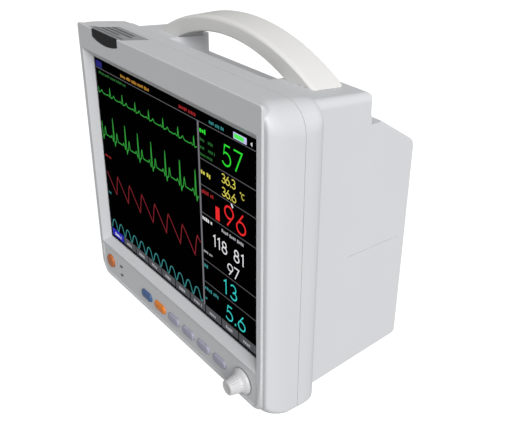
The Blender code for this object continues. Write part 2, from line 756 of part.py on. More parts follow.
def encoder():
    """Rotary encoder with a push switch: body, plunger, shaft and knob."""
    centre = (KNOB_X, KNOB_Z)
    front, rear = ENCODER_Y
    bore_r = SHAFT_R + GAP
    body = piece("encoder_body", box(
        (KNOB_X - ENCODER_HALF_W, front, KNOB_Z - ENCODER_HALF_W),
        (KNOB_X + ENCODER_HALF_W, rear, KNOB_Z + ENCODER_HALF_W)), "steel", 40)
    join(body, cylinder(centre, BUSHING_R, BUSHING_Y, front + PAST), "bushing")
    chamber_y = SHAFT_Y[1] - 2.3
    cut(body, cylinder(centre, bore_r, BUSHING_Y - PAST, chamber_y + 1.0, steps=16), "bore")
    cut(body, cylinder(centre, 5.0, chamber_y, PLUNGER_Y[1] + 1.2, steps=16), "chamber")
    plunger = cylinder(centre, 4.5, *PLUNGER_Y, steps=16)
    set_origin(
        piece("encoder_plunger", plunger, "black_plastic"), (KNOB_X, PLUNGER_Y[0], KNOB_Z))
    shaft = piece("encoder_shaft", cylinder(centre, SHAFT_R, *SHAFT_Y, steps=16), "steel", 40)
    set_origin(shaft, (KNOB_X, SHAFT_Y[1], KNOB_Z))

    depth = KNOB_BASE_Y - KNOB_TIP_Y
    counterbore = (BUSHING_R + 1.5, 1.6)
    profile = [
        (0.0, depth), (KNOB_TIP_R - 1.0, depth), (KNOB_TIP_R, depth - 1.0),
        (KNOB_TIP_R + 1.2, 6.5), (KNOB_BASE_R - 2.6, 3.4), (KNOB_BASE_R - 0.3, 2.0),
        (KNOB_BASE_R, 1.2), (KNOB_BASE_R, 0.0), (counterbore[0], 0.0), counterbore,
        (bore_r, counterbore[1]), (bore_r, KNOB_BORE), (0.0, KNOB_BORE),
    ]
    turned("encoder_knob", profile, (KNOB_X, KNOB_BASE_Y, KNOB_Z), TO_FRONT, "case")


def alarm_lamp():
    """Smoked lens in the corner of the rim, and the board of lamps behind it."""
    top = HEAD_TOP - 0.2
    lens = prism(lens_outline(GAP, top), CREST_Y - 0.2, LENS_BACK_Y, "Y")
    for vert in lens.verts:
        if vert.co.z > LENS_DROP_SIDE + 1.0:
            vert.co.z += roof(max(vert.co.y, CREST_Y)) - HEAD_TOP
    piece("alarm_lens", lens, "smoked_lens", 40)
    front, rear = LAMP_BOARD_Y
    bottom = LENS_DROP_MID
    board = piece("alarm_lamp_board", box(
        (LENS_LEFT - 3.0, front, bottom - 7.2), (LENS_RIGHT + 3.0, rear, bottom + 4.8)), "board")
    for index in range(ALARM_LAMP_COUNT):
        x = LENS_LEFT + 6.0 + ALARM_LAMP_PITCH * index
        lamp = box((x, front - 0.8, bottom + 0.3), (x + 3.0, rear - 1.0, bottom + 3.3))
        join(board, lamp, "lamp_" + str(index + 1))


# ----------------------------------------------------------------- internals

def chassis():
    """Steel plate behind the screen, with a floor and flanges for the housing screws."""
    half = CHASSIS_HALF_W
    bottom, top = CHASSIS_Z
    front = PARTING_Y - 1.0
    body = piece(
        "inner_chassis", box((-half, front, bottom), (half, front + CHASSIS_T, top)), "steel")
    floor = box((-half, front + 0.5, bottom), (half, CHASSIS_REAR_Y, bottom + 1.5))
    join(body, floor, "floor")
    for label, side in (("left", -1.0), ("right", 1.0)):
        low, high = sorted((side * half, side * (half - CHASSIS_FLANGE_W)))
        flange = box(
            (low, CHASSIS_REAR_Y - CHASSIS_T, bottom + 0.5),
            (high, CHASSIS_REAR_Y + 0.2, CHASSIS_FLANGE_TOP))
        join(body, flange, label + "_flange")
    for index, place in enumerate(HOUSING_SCREWS):
        hole = cylinder(
            place, SCREW_HOLE_R, CHASSIS_REAR_Y - PAST, CHASSIS_REAR_Y + PAST, steps=12)
        cut(body, hole, "screw_hole_" + str(index + 1))
    for index, place in enumerate(mount_places()):
        hole = cylinder(place, MOUNT_HOLE_R + 0.4, bottom - PAST, bottom + PAST, "Z", steps=12)
        cut(body, hole, "mount_hole_" + str(index + 1))


def boards():
    """Circuit boards with their larger components, and the supply's capacitor."""
    for name, ((low, high), components) in BOARDS.items():
        board = piece(name, box(low, high), "board")
        for label, *corners in components:
            join(board, box(*corners), label)
        if name == "power_supply":
            capacitor = cylinder((86.0, 24.0), 9.0, high[2] - 1.0, 60.0, "Z", steps=16)
            join(board, capacitor, "capacitor")


def modules():
    """Battery, cuff pump and valve, gas module and speaker."""
    pack = rectangle(
        (BATTERY_X[0] + 4.0, BATTERY_X[1] - 4.0), (BATTERY_Z[0] + 2.0, BATTERY_Z[1] - 2.0), 2.0, 2)
    piece("battery_pack", prism(pack, -8.0, REAR_Y - 10.0, "Y"), "battery")

    pump = piece("cuff_pump", cylinder((-70.0, 112.0), 14.0, -14.0, 30.0), "steel", 40)
    join(pump, box((-84.0, 28.0, 98.0), (-56.0, 48.0, 126.0)), "head")
    valve = piece("cuff_valve", cylinder((-36.0, 108.0), 9.0, 0.0, 28.0, steps=16), "brass", 40)
    join(valve, box((-45.0, 26.0, 99.0), (-27.0, 34.0, 117.0)), "manifold")
    gas = piece("gas_module", box((-96.0, 0.0, 150.0), (-50.0, 56.0, 186.0)), "grey_trim")
    join(gas, cylinder((-60.0, 168.0), 8.0, 55.0, 66.0, steps=16), "pump")

    place = (70.0, 150.0)
    speaker = piece("speaker", cylinder(place, 24.0, 78.0, 82.0), "black_plastic", 40)
    join(speaker, cylinder(place, 12.0, 64.0, 79.0, end_radius=20.0), "basket")


def cuff_hose():
    """Hose from the cuff fitting, under the measuring board, to the valve manifold."""
    route = [Vector(point) for point in HOSE_ROUTE]
    last = len(route) - 1
    between = 3
    points = []
    for index in range(last):
        stretch = (
            route[max(index - 1, 0)], route[index], route[index + 1], route[min(index + 2, last)])
        points += [smooth_between(*stretch, step / between) for step in range(between)]
    points.append(route[-1])
    curve = bpy.data.curves.new("cuff_hose", "CURVE")
    curve.dimensions = "3D"
    curve.bevel_depth = HOSE_R * MM
    curve.bevel_resolution = 2
    curve.use_fill_caps = True
    spline = curve.splines.new("POLY")
    spline.points.add(len(points) - 1)
    for control, point in zip(spline.points, points):
        control.co = (*(point * MM), 1.0)
    PIECES.objects.link(bpy.data.objects.new("cuff_hose", curve))
    curve.materials.append(make_material("cuff_hose", "rubber"))


def smooth_between(before, here, ahead, beyond, part):
    """Point between here and ahead on a smooth curve through four points."""
    slope_in = (ahead - before) / 2
    slope_out = (beyond - here) / 2
    return (
        here * (2 * part ** 3 - 3 * part ** 2 + 1) + slope_in * (part ** 3 - 2 * part ** 2 + part)
        + ahead * (3 * part ** 2 - 2 * part ** 3) + slope_out * (part ** 3 - part ** 2))


# ---------------------------------------------------------------- interfaces

def panel_outline(first_range, second_range, radius=3.7):
    """Outline of a plate that stands in a window with a gap all round."""
    (a0, a1), (b0, b1) = first_range, second_range
    return rectangle((a0 + GAP, a1 - GAP), (b0 + GAP, b1 - GAP), radius, 2)


def side_interfaces():
    """Panel of patient sockets on the left side."""
    outer = -CASE_HALF_W + 1.0
    outline = panel_outline(SIDE_PANEL_Y, SIDE_PANEL_Z, 4.7)
    panel = piece("side_socket_panel", prism(outline, outer, outer + WALL, "X"), "grey_trim", 40)
    for name, y, z, flange_r, bore_r, height, finish in SIDE_SOCKETS:
        barrel_r = bore_r + 1.8
        hole = cylinder((y, z), barrel_r + GAP, outer - PAST, outer + PAST, "X")
        cut(panel, hole, name + "_hole")
        floor = height - SOCKET_DEPTH
        profile = [
            (0.0, floor), (bore_r, floor), (bore_r, height),
            (flange_r - 1.0, height), (flange_r, height - 1.0), (flange_r, GAP), (barrel_r, GAP),
            (barrel_r, floor - 2.0), (0.0, floor - 2.0),
        ]
        turned(name, profile, (outer, y, z), TO_LEFT, finish)


def rear_interfaces():
    """Plate with the mains inlet, the earth post and the data ports, and the battery door."""
    outer = REAR_Y - 0.8
    outline = panel_outline(REAR_PLATE_X, REAR_PLATE_Z)
    plate = piece("rear_socket_plate", prism(outline, outer - 2.0, outer, "Y"), "grey_trim", 40)
    for name, x, z, half_w, half_h, wall, depth, finish in REAR_PORTS:
        body_w = half_w + wall
        body_h = half_h + wall
        hole = box(
            (x - body_w - GAP, outer - PAST, z - body_h - GAP),
            (x + body_w + GAP, outer + PAST, z + body_h + GAP))
        cut(plate, hole, name + "_hole")
        port = piece(name, box(
            (x - body_w, outer - depth - 2.0, z - body_h),
            (x + body_w, outer + 0.4, z + body_h)), finish)
        mouth = box(
            (x - half_w, outer - depth, z - half_h), (x + half_w, outer + PAST, z + half_h))
        cut(port, mouth, "mouth")

    post_r = 3.0
    hole = cylinder(EARTH_POST, post_r + GAP, outer - PAST, outer + PAST, steps=16)
    cut(plate, hole, "earth_hole")
    profile = [(0.0, 0.7), (post_r - 0.6, 0.7), (post_r, 0.1), (post_r, -8.0), (0.0, -8.0)]
    turned("earth_post", profile, (EARTH_POST[0], outer, EARTH_POST[1]), TO_REAR, "brass")

    outline = panel_outline(BATTERY_X, BATTERY_Z)
    door = piece("battery_door", prism(outline, REAR_Y - 2.8, REAR_Y - 0.4, "Y"), "case", 40)
    for index, x in enumerate((BATTERY_X[0] + 7.0, BATTERY_X[1] - 7.0)):
        label = str(index + 1)
        place = (x, BATTERY_Z[1] - 8.0)
        rear = REAR_Y + PAST
        cut(door, cylinder(place, SCREW_HOLE_R, REAR_Y - PAST, rear, steps=12), "hole_" + label)
        sink = cylinder(place, SCREW_HEAD_R + 0.6, REAR_Y - 1.6, rear, steps=16)
        cut(door, sink, "sink_" + label)
        screw("battery_door_screw_" + label, place, REAR_Y - 1.3, 5.0)
    for index, place in enumerate(HOUSING_SCREWS):
        screw("housing_screw_" + str(index + 1), place, REAR_Y - 1.1, 12.0)


def screw(name, place, seat_y, length):
    """Pan head screw that points to the front. The seat is under its head."""
    profile = [
        (0.0, 0.9), (SCREW_HEAD_R - 0.8, 0.9), (SCREW_HEAD_R, 0.3), (SCREW_HEAD_R, 0.0),
        (SCREW_SHANK_R, 0.0), (SCREW_SHANK_R, -length), (0.0, -length),
    ]
    turned(name, profile, (place[0], seat_y, place[1]), TO_REAR, "steel")


def underside():
    """Mounting plate for a stand, and four rubber feet."""
    plate = piece("mounting_plate", mount_block(GAP, MOUNT_Z, MOUNT_Z + PLATE_T), "steel")
    for index, place in enumerate(mount_places()):
        hole = cylinder(place, MOUNT_HOLE_R, 0.0, MOUNT_Z + 2 * PLATE_T, "Z", steps=16)
        cut(plate, hole, "hole_" + str(index + 1))
    for label, y in (("front", FOOT_FRONT_Y), ("rear", FOOT_REAR_Y)):
        for side, x in (("left", -FOOT_X), ("right", FOOT_X)):
            foot = cylinder((x, y), FOOT_R, 0.0, foot_top(y), "Z", end_radius=FOOT_R - 1.0)
            piece("foot_" + label + "_" + side, foot, "rubber", 40)


def foot_top(y):
    """Underside of the monitor over a foot, less the gap."""
    if y < SHOULDER_Y:
        return HEAD_BOTTOM - GAP
    (y0, z0), (y1, z1) = CASE_PROFILE[:2]
    return z0 + (z1 - z0) * (y - FOOT_R - y0) / (y1 - y0) - GAP


front_bezel()
rear_housing()
carry_handle()
display()
controls()
encoder()
alarm_lamp()
chassis()
boards()
modules()
cuff_hose()
side_interfaces()
rear_interfaces()
underside()
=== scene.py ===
"""Bedside patient monitor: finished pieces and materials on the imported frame.

X is right seen from the front, Y runs to the rear and Z is up. The builders work in
millimetres and store metres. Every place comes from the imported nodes' boxes or from the
driving dimensions below: those of the CAD, and those of the finer shapes made only here.
"""
import math
import random

import bmesh
import bpy
from mathutils import Matrix, Vector


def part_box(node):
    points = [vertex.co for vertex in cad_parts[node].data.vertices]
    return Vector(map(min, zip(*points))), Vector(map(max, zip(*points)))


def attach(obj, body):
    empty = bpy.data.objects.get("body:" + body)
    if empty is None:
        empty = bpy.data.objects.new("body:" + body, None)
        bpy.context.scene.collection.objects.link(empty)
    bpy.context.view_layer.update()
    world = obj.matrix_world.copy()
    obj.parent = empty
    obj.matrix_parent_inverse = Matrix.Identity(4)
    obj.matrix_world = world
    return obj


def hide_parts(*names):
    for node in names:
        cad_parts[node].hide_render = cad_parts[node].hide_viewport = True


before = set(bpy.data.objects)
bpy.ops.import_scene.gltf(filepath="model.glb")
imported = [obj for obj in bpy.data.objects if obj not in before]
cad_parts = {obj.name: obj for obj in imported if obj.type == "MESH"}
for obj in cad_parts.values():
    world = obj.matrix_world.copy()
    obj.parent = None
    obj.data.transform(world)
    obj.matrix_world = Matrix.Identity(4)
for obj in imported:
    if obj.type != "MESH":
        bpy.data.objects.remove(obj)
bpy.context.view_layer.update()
scene = bpy.context.scene

MM = 0.001
GAP = 0.3
PAST = 5.0
BEYOND = 320.0


def corners_mm(node):
    """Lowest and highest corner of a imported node, in millimetres."""
    low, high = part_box(node)
    return [Vector(low) / MM, Vector(high) / MM]


# ------------------------------------------------------------ driving dimensions

GLASS_Y = corners_mm("lcd_glass")[0].y
BEZEL_LOW, BEZEL_HIGH = corners_mm("front_bezel")
CREST_Y = BEZEL_LOW.y
PARTING_Y = BEZEL_HIGH.y
SHOULDER_Y = -20.0
TOWER_REAR_Y = 36.5
REAR_Y = corners_mm("rear_housing")[1].y
LIP_Y = -64.3
BEZEL_BACK_Y = -63.5
SCREEN_W = 246.0
SCREEN_H = 184.5
SCREEN_Z = 146.0
WINDOW_MARGIN = 2.5
HEAD_TOP = BEZEL_HIGH.z
HEAD_BOTTOM = BEZEL_LOW.z
HEAD_HALF = BEZEL_HIGH.x
OPENING_HALF_W = 132.4
OPENING_BOTTOM = 45.0
OPENING_TOP = 248.2
HEAD_SLOPE = -0.14
HEAD_SECTIONS = (
    # y, half width, bottom, drop from the sloping top, corner radii: bottom, right, left
    (-69.1, 137.0, 13.0, 4.0, 9.0, 20.0, 12.0),
    (-69.0, 139.2, 12.4, 2.0, 9.0, 20.0, 12.0),
    (-68.9, 140.6, 11.4, 1.2, 9.0, 20.0, 12.0),
    (-68.6, 141.8, 10.2, 0.8, 8.8, 20.0, 12.0),
    (-67.8, 142.7, 9.0, 0.6, 8.5, 20.0, 12.0),
    (-66.4, 143.5, 7.9, 0.4, 8.0, 20.0, 12.0),
    (-63.8, 144.5, 6.4, 0.2, 7.0, 20.5, 11.0),
    (-60.4, 145.3, 5.2, 0.0, 6.0, 21.0, 10.0),
    (-56.0, 145.8, 3.9, 0.0, 4.5, 21.5, 9.0),
    (-50.0, HEAD_HALF, HEAD_BOTTOM, 0.0, 3.0, 22.0, 8.0),
    (PARTING_Y, HEAD_HALF, HEAD_BOTTOM, 0.0, 3.0, 22.0, 8.0),
    (-31.0, HEAD_HALF, HEAD_BOTTOM, 0.0, 3.0, 21.0, 8.0),
    (-26.0, 145.6, 3.3, 0.0, 3.0, 19.0, 8.0),
    (-23.0, 144.8, 4.4, 0.0, 3.0, 18.0, 8.0),
    (-21.4, 143.8, 5.8, 0.3, 3.0, 17.0, 8.0),
    (SHOULDER_Y, 142.2, 7.4, 1.6, 3.0, 16.0, 8.0),
)

# The rim round the screen stands proud of the head, and its square corners fade into it.
RIM_HALF = 138.2
RIM_BOTTOM = 7.8
RIM_EDGE_R = 0.9
RIM_CORNERS = (
    # y, corner radii: bottom, right, left
    (CREST_Y, 9.0, 2.6, 3.0),
    (-68.0, 9.0, 4.0, 4.0),
    (-64.0, 9.0, 9.0, 7.0),
    (-58.0, 9.0, 17.0, 10.0),
    (-52.0, 9.0, 24.0, 12.0),
)
RIM_REAR_Y = -69.6      # end of the rim's rounded front edge
FLAT_REAR_Y = -69.3     # from here forward the rim's flat curves in at its lower corners
FLAT_CURVE = 5.2
FLAT_CURVE_TOP = 52.0
FLAT_CURVE_STEPS = 12
FLAT_CURVE_POWER = 12   # how closely the curving keeps to the rim's sides
BLEND = 0.8             # soft change between rim and head, only beyond BLEND_FROM
BLEND_FROM = 108.0
BLEND_LENGTH = 10.0
WALL = 2.5
CASE_HALF_W = 133.0
CASE_PROFILE = (
    (PARTING_Y + 3.0, 3.0),
    (REAR_Y, 16.6),
    (REAR_Y, 205.5),
    (TOWER_REAR_Y, 238.5),
    (TOWER_REAR_Y, 255.4),
    (PARTING_Y + 3.0, 261.8),
)
CASE_PROFILE_RADII = (0.0, 4.5, 9.0, 2.5, 3.0, 0.0)
CASE_EDGE_R = 2.0
TOWER_EDGE_R = 7.0
SIDE_GROOVE = ((20.0, 77.0), 120.2)
RECESS_HALF_W = 73.0
RECESS_FLOOR = 230.8
RECESS_FRONT_Y = SHOULDER_Y - 0.4
RECESS_FLARE_R = 18.0

# Carrying handle.
HANDLE_FRONT_Y = -2.5
HANDLE_REAR_Y = 25.5
HANDLE_OUTER_HALF = 111.0
HANDLE_INNER_HALF = 76.0
HANDLE_TOP = corners_mm("carry_handle")[1].z
HANDLE_ARCH_TOP = 275.6
HANDLE_OUTER_FOOT = 258.5
HANDLE_INNER_FOOT = 259.0
HANDLE_FOOT_GAP = 0.15
HANDLE_RADII = (1.5, 4.2, 1.6, 1.6)     # outer rear, outer front, inner front, inner rear
HANDLE_STEPS = 56

# Control strip.
KEY_COUNT = 6
KEY_W = 18.0
KEY_H = 8.6
KEY_R = 3.4
WELL_R = 12.6
WELL_Y = -69.6
BUSHING_R = 4.5
STRIP_TOP = 43.6
LIGHT_PIPES = ("power_light_pipe", "battery_light_pipe")
PIPE_GAP = 0.1
CAP_DOME = 0.35
CAP_EDGE_R = 1.1
FLANGE = 1.3            # how far the flange behind a key reaches past it
FLANGE_T = 1.2
CAP_GAP = 0.1           # between a cap and its flange
KNOB_TIP_R = 6.6
KNOB_FLUTES = 20
SHAFT_HOLE_R = 3.3
SHAFT_HOLE_DEPTH = 10.7
STRIP_DROP = 0.7
STRIP_LOW = 10.4
STRIP_SLOPE = 1.6       # how far the step's sides lean in over its depth

# Alarm lens.
LENS_LEFT = -109.0
LENS_RIGHT = -62.0
LENS_DROP_SIDE = 262.8
LENS_DROP_MID = 259.2
LENS_BACK_Y = -66.0
LENS_TILT_FROM = 266.0

# Foil label on the top.
LABEL_X = (-117.5, -57.5)
LABEL_Y = (-69.4, -42.0)
LABEL_BAR = ((-113.0, -61.0), (-66.6, -64.4))
LABEL_ROWS = ((-112.0, -78.0), (-112.0, -66.0), (-112.0, -72.0))
LABEL_ROW_Y = -61.5
LABEL_ROW_PITCH = 5.6
LABEL_ROW_DEPTH = 3.1

# Interfaces.
SIDE_PANEL_Y = (-6.0, 66.0)
SIDE_PANEL_Z = (62.0, 202.0)
REAR_PLATE_X = (-22.0, 108.0)
REAR_PLATE_Z = (32.0, 82.0)
BATTERY_X = (-108.0, -34.0)
BATTERY_Z = (32.0, 86.0)
FINGER_RIBS = 5
FINGER_RIB_PITCH = 4.0
FINGER_RIB_HALF = 15.0
MOUNT_HALF = 48.0
MOUNT_Y = 30.0
MOUNT_SETBACK = 6.0
SIDE_PLATE_R = 4.7
PLATE_R = 3.7
VENT_ROWS = 8
VENT_HALF_W = 42.0
VENT_Z = 118.0
VENT_PITCH = 8.0
VENT_H = 3.0
SCREW_HEAD_R = 3.4
SCREW_HOLE_R = 1.9
SINK_DEPTH = 1.4
HOUSING_SCREWS = ((-120.0, 44.0), (120.0, 44.0), (-120.0, 176.0), (120.0, 176.0))

# Facets.
ARC_STEPS = 10
RIM_STEPS = 5
ROUND_STEPS = 64
HEAD_STEPS = 14
SECTION_STEPS = 3

# Outlines of the head are sampled along spokes from a point behind the screen.
CENTRE_Z = 138.0
FLAT_SPOKES = 16
CORNER_SPOKES = 64
CORNER_REACH = 0.17
CORNER_EVEN = 0.35      # share of even spacing among a corner's spokes


# ---------------------------------------------------------------- mesh builders

AXIS_FRAMES = {
    "X": Matrix(((0, 0, 1, 0), (1, 0, 0, 0), (0, 1, 0, 0), (0, 0, 0, 1))),
    "Y": Matrix(((1, 0, 0, 0), (0, 0, -1, 0), (0, 1, 0, 0), (0, 0, 0, 1))),
    "Z": Matrix.Identity(4),
}


def rim_arc(level, radius, inwards, steps=RIM_STEPS):
    """Levels along the axis, each with its shrink, from the end face to the full outline."""
    steps = steps if radius else 0
    arc = []
    for step in range(steps + 1):
        angle = math.pi / 2 * step / max(steps, 1)
        arc.append((level + inwards * radius * (1.0 - math.cos(angle)),
                    radius * (1.0 - math.sin(angle))))
    return arc


def inset(corners, distance):
    """Anticlockwise outline moved inwards by a distance."""
    moved = []
    count = len(corners)
    for index in range(count):
        here = Vector(corners[index])
        arriving = (here - Vector(corners[index - 1])).normalized()
        leaving = (Vector(corners[(index + 1) % count]) - here).normalized()
        normals = (Vector((-arriving.y, arriving.x)), Vector((-leaving.y, leaving.x)))
        moved.append(here + (normals[0] + normals[1]) / (1.0 + normals[0].dot(normals[1])) * distance)
    return moved


def fillet(corners, radii, steps=ARC_STEPS):
    """Outline whose corners are rounded by arcs; a radius of 0 keeps a corner."""
    outline = []
    count = len(corners)
    for index, radius in enumerate(radii):
        corner = Vector(corners[index])
        if radius <= 0.0:
            outline.append(tuple(corner))
            continue
        back = (Vector(corners[index - 1]) - corner).normalized()
        ahead = (Vector(corners[(index + 1) % count]) - corner).normalized()
        half = back.angle(ahead) / 2
        centre = corner + (back + ahead).normalized() * radius / math.sin(half)
        start = corner + back * radius / math.tan(half) - centre
        end = corner + ahead * radius / math.tan(half) - centre
        turn = start.angle_signed(end)
        for step in range(steps + 1):
            spoke = start.copy()
            spoke.rotate(Matrix.Rotation(-turn * step / steps, 2))
            outline.append(tuple(centre + spoke))
    return outline


def rectangle(first_range, second_range, radius=0.0, steps=ARC_STEPS):
    (a0, a1), (b0, b1) = first_range, second_range
    return fillet([(a0, b0), (a1, b0), (a1, b1), (a0, b1)], [radius] * 4, steps)


def circle(centre, radius, steps=ROUND_STEPS):
    angles = [2.0 * math.pi * step / steps for step in range(steps)]
    return [(centre[0] + radius * math.cos(a), centre[1] + radius * math.sin(a)) for a in angles]


def bridge(bm, lower, upper):
    """Faces between two closed rings of points."""
    for index in range(len(lower)):
        bm.faces.new((lower[index - 1], lower[index], upper[index], upper[index - 1]))


def loft(rings, axis):
    """Solid through outlines that have the same number of points, each at its own level."""
    bm = bmesh.new()
    loops = []
    for level, outline in rings:
        along = -level if axis == "Y" else level
        loops.append([bm.verts.new((*point, along)) for point in outline])
    bm.faces.new(loops[0])
    bm.faces.new(loops[-1])
    for lower, upper in zip(loops, loops[1:]):
        bridge(bm, lower, upper)
    bm.transform(AXIS_FRAMES[axis])
    return close(bm)


def close(bm):
    """Make the faces of a closed solid point outwards."""
    bmesh.ops.recalc_face_normals(bm, faces=bm.faces)
    if bm.calc_volume(signed=True) < 0.0:
        bmesh.ops.reverse_faces(bm, faces=bm.faces)
    return bm


def prism(outline, start, end, axis, round_start=0.0, round_end=0.0, steps=RIM_STEPS):
    """Solid of a flat outline from start to end along an axis, with rounded rims."""
    levels = rim_arc(start, round_start, 1.0, steps)
    levels += reversed(rim_arc(end, round_end, -1.0, steps))
    return loft([(level, inset(outline, shrink)) for level, shrink in levels], axis)


def box(low, high, radius=0.0):
    """Box between two corners, with rounded edges when a radius is given."""
    bm = bmesh.new()
    bmesh.ops.create_cube(bm, size=1.0)
    size = Vector(high) - Vector(low)
    centre = (Vector(high) + Vector(low)) / 2
    bm.transform(Matrix.Translation(centre) @ Matrix.Diagonal((*size, 1.0)))
    if radius:
        bmesh.ops.bevel(
            bm, geom=list(bm.edges), offset=radius, segments=3, profile=0.5, affect="EDGES")
    return bm


def cylinder(centre, radius, start, end, axis="Y", edge=0.0, steps=ROUND_STEPS):
    return prism(circle(centre, radius, steps), start, end, axis, edge, edge, 3)


TO_LEFT = Matrix.Rotation(-math.pi / 2, 4, "Y")
TO_REAR = Matrix.Rotation(-math.pi / 2, 4, "X")


def turned(profile, origin, axis_matrix, steps=ROUND_STEPS):
    """Turned solid. The profile is (radius, height) and starts and ends on the axis."""
    bm = bmesh.new()
    rings = []
    for radius, height in profile:
        if radius <= 0.0:
            rings.append([bm.verts.new((0.0, 0.0, height))])
        else:
            rings.append([bm.verts.new((x, y, height)) for x, y in circle((0, 0), radius, steps)])
    for lower, upper in zip(rings, rings[1:]):
        if len(lower) > 1 and len(upper) > 1:
            bridge(bm, lower, upper)
            continue
        for index in range(steps):
            if len(lower) == 1:
                bm.faces.new([lower[0], upper[index], upper[index - 1]])
            else:
                bm.faces.new([lower[index - 1], lower[index], upper[0]])
    bm.transform(Matrix.Translation(Vector(origin)) @ axis_matrix)
    return close(bm)


def merged(*parts):
    """One mesh of several separate solids."""
    whole = bmesh.new()
    for part in parts:
        mesh = bpy.data.meshes.new("part")
        part.to_mesh(mesh)
        part.free()
        whole.from_mesh(mesh)
        bpy.data.meshes.remove(mesh)
    return whole


def to_object(name, bm):
    mesh = bpy.data.meshes.new(name)
    bm.transform(Matrix.Scale(MM, 4))
    bm.to_mesh(mesh)
    bm.free()
    obj = bpy.data.objects.new(name, mesh)
    scene.collection.objects.link(obj)
    return obj


def apply_modifiers(obj):
    """Put what the modifiers make into the mesh."""
    graph = bpy.context.evaluated_depsgraph_get()
    mesh = bpy.data.meshes.new_from_object(obj.evaluated_get(graph))
    obj.modifiers.clear()
    old = obj.data
    obj.data = mesh
    bpy.data.meshes.remove(old)


def combine(obj, operation, other):
    """Boolean of an object with another, which is then removed."""
    modifier = obj.modifiers.new("combine", "BOOLEAN")
    modifier.operation = operation
    modifier.solver = "EXACT"
    modifier.object = other
    apply_modifiers(obj)
    bpy.data.objects.remove(other, do_unlink=True)


def carve(obj, *solids):
    """Cut solids out of an object. They don't touch each other."""
    combine(obj, "DIFFERENCE", to_object("tool", merged(*solids)))


def soften(obj, width, angle=40.0, segments=2):
    """Small rounding along the sharp edges."""
    modifier = obj.modifiers.new("soften", "BEVEL")
    modifier.width = width * MM
    modifier.segments = segments
    modifier.limit_method = "ANGLE"
    modifier.angle_limit = math.radians(angle)
    apply_modifiers(obj)


def finish_piece(obj, material, replaced=(), smooth=38.0, body="monitor"):
    """Shade a piece, and say what it rides on, replaces and is made of."""
    obj.data.materials.clear()
    obj.data.materials.append(material)
    obj.data.shade_smooth()
    obj.data.set_sharp_from_angle(angle=math.radians(smooth))
    modifier = obj.modifiers.new("flatten", "WEIGHTED_NORMAL")
    modifier.keep_sharp = True
    apply_modifiers(obj)
    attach(obj, body)
    if replaced:
        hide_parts(*replaced)
    return obj


# -------------------------------------------------------------------- materials

def linear(colour):
    """Display colour from 0 to 255 as linear light."""
    return [(c / 255 / 12.92) if c <= 10 else ((c / 255 + 0.055) / 1.055) ** 2.4 for c in colour]


def feed(tree, node, inputs):
    """Set a node's inputs, each to a value or to another node's output."""
    for socket, value in inputs.items():
        if isinstance(value, bpy.types.NodeSocket):
            tree.links.new(value, node.inputs[socket])
        else:
            node.inputs[socket].default_value = value


def add_node(tree, kind, output, inputs=(), **settings):
    """New node. Returns its named output."""
    node = tree.nodes.new("ShaderNode" + kind)
    for key, value in settings.items():
        setattr(node, key, value)
    feed(tree, node, dict(inputs))
    return node.outputs[output]


def new_material(name):
    material = bpy.data.materials.new(name)
    material.use_nodes = True
    return material, material.node_tree, material.node_tree.nodes["Principled BSDF"]


def noise(tree, place, scale, detail):
    return add_node(tree, "TexNoise", "Fac", {"Vector": place, "Scale": scale, "Detail": detail})


def mix(tree, share, first, second):
    colours = {"A": (*first, 1.0), "B": (*second, 1.0), "Factor": share}
    return add_node(tree, "Mix", "Result", colours, data_type="RGBA")


def moulded(name, colour, roughness=0.45, specular=0.4, grain=2200.0, grain_depth=0.006,
            mottle=0.03, metallic=0.0, coat=0.0, streaks=None):
    """Principled material with fine grain, faint mottling and an uneven gloss.

    The colour is linear. Grain is the noise scale per metre and its depth is in millimetres.
    Streaks stretch the grain along one axis, for brushed metal.
    """
    material, tree, shader = new_material(name)
    place = add_node(tree, "TexCoord", "Object")
    if streaks:
        place = add_node(tree, "Mapping", "Vector", {"Vector": place, "Scale": streaks})
    broad = noise(tree, place, 26.0, 5.0)
    fine = noise(tree, place, grain, 3.0)
    tone = mix(tree, broad, [c * (1.0 - mottle) for c in colour],
               [min(c * (1.0 + mottle), 1.0) for c in colour])
    gloss = add_node(tree, "MapRange", "Result", {
        "Value": broad, "From Min": 0.3, "From Max": 0.7,
        "To Min": roughness * 0.93, "To Max": min(roughness * 1.07, 1.0)})
    bumps = add_node(tree, "Bump", "Normal", {
        "Strength": 0.6, "Distance": grain_depth * MM, "Height": fine})
    feed(tree, shader, {
        "Metallic": metallic, "Specular IOR Level": specular, "Coat Weight": coat,
        "Coat Roughness": 0.08, "Base Color": tone, "Roughness": gloss, "Normal": bumps})
    return material


def glowing(name, colour):
    """Lit part of the picture on the screen, with the fine rows of a flat panel."""
    material, tree, shader = new_material(name)
    rows = noise(tree, add_node(tree, "TexCoord", "Object"), 420.0, 2.0)
    feed(tree, shader, {
        "Base Color": (0.005, 0.005, 0.005, 1.0), "Roughness": 0.5, "Specular IOR Level": 0.05,
        "Emission Strength": 1.0,
        "Emission Color": mix(tree, rows, [c * 0.86 for c in colour], colour)})
    return material


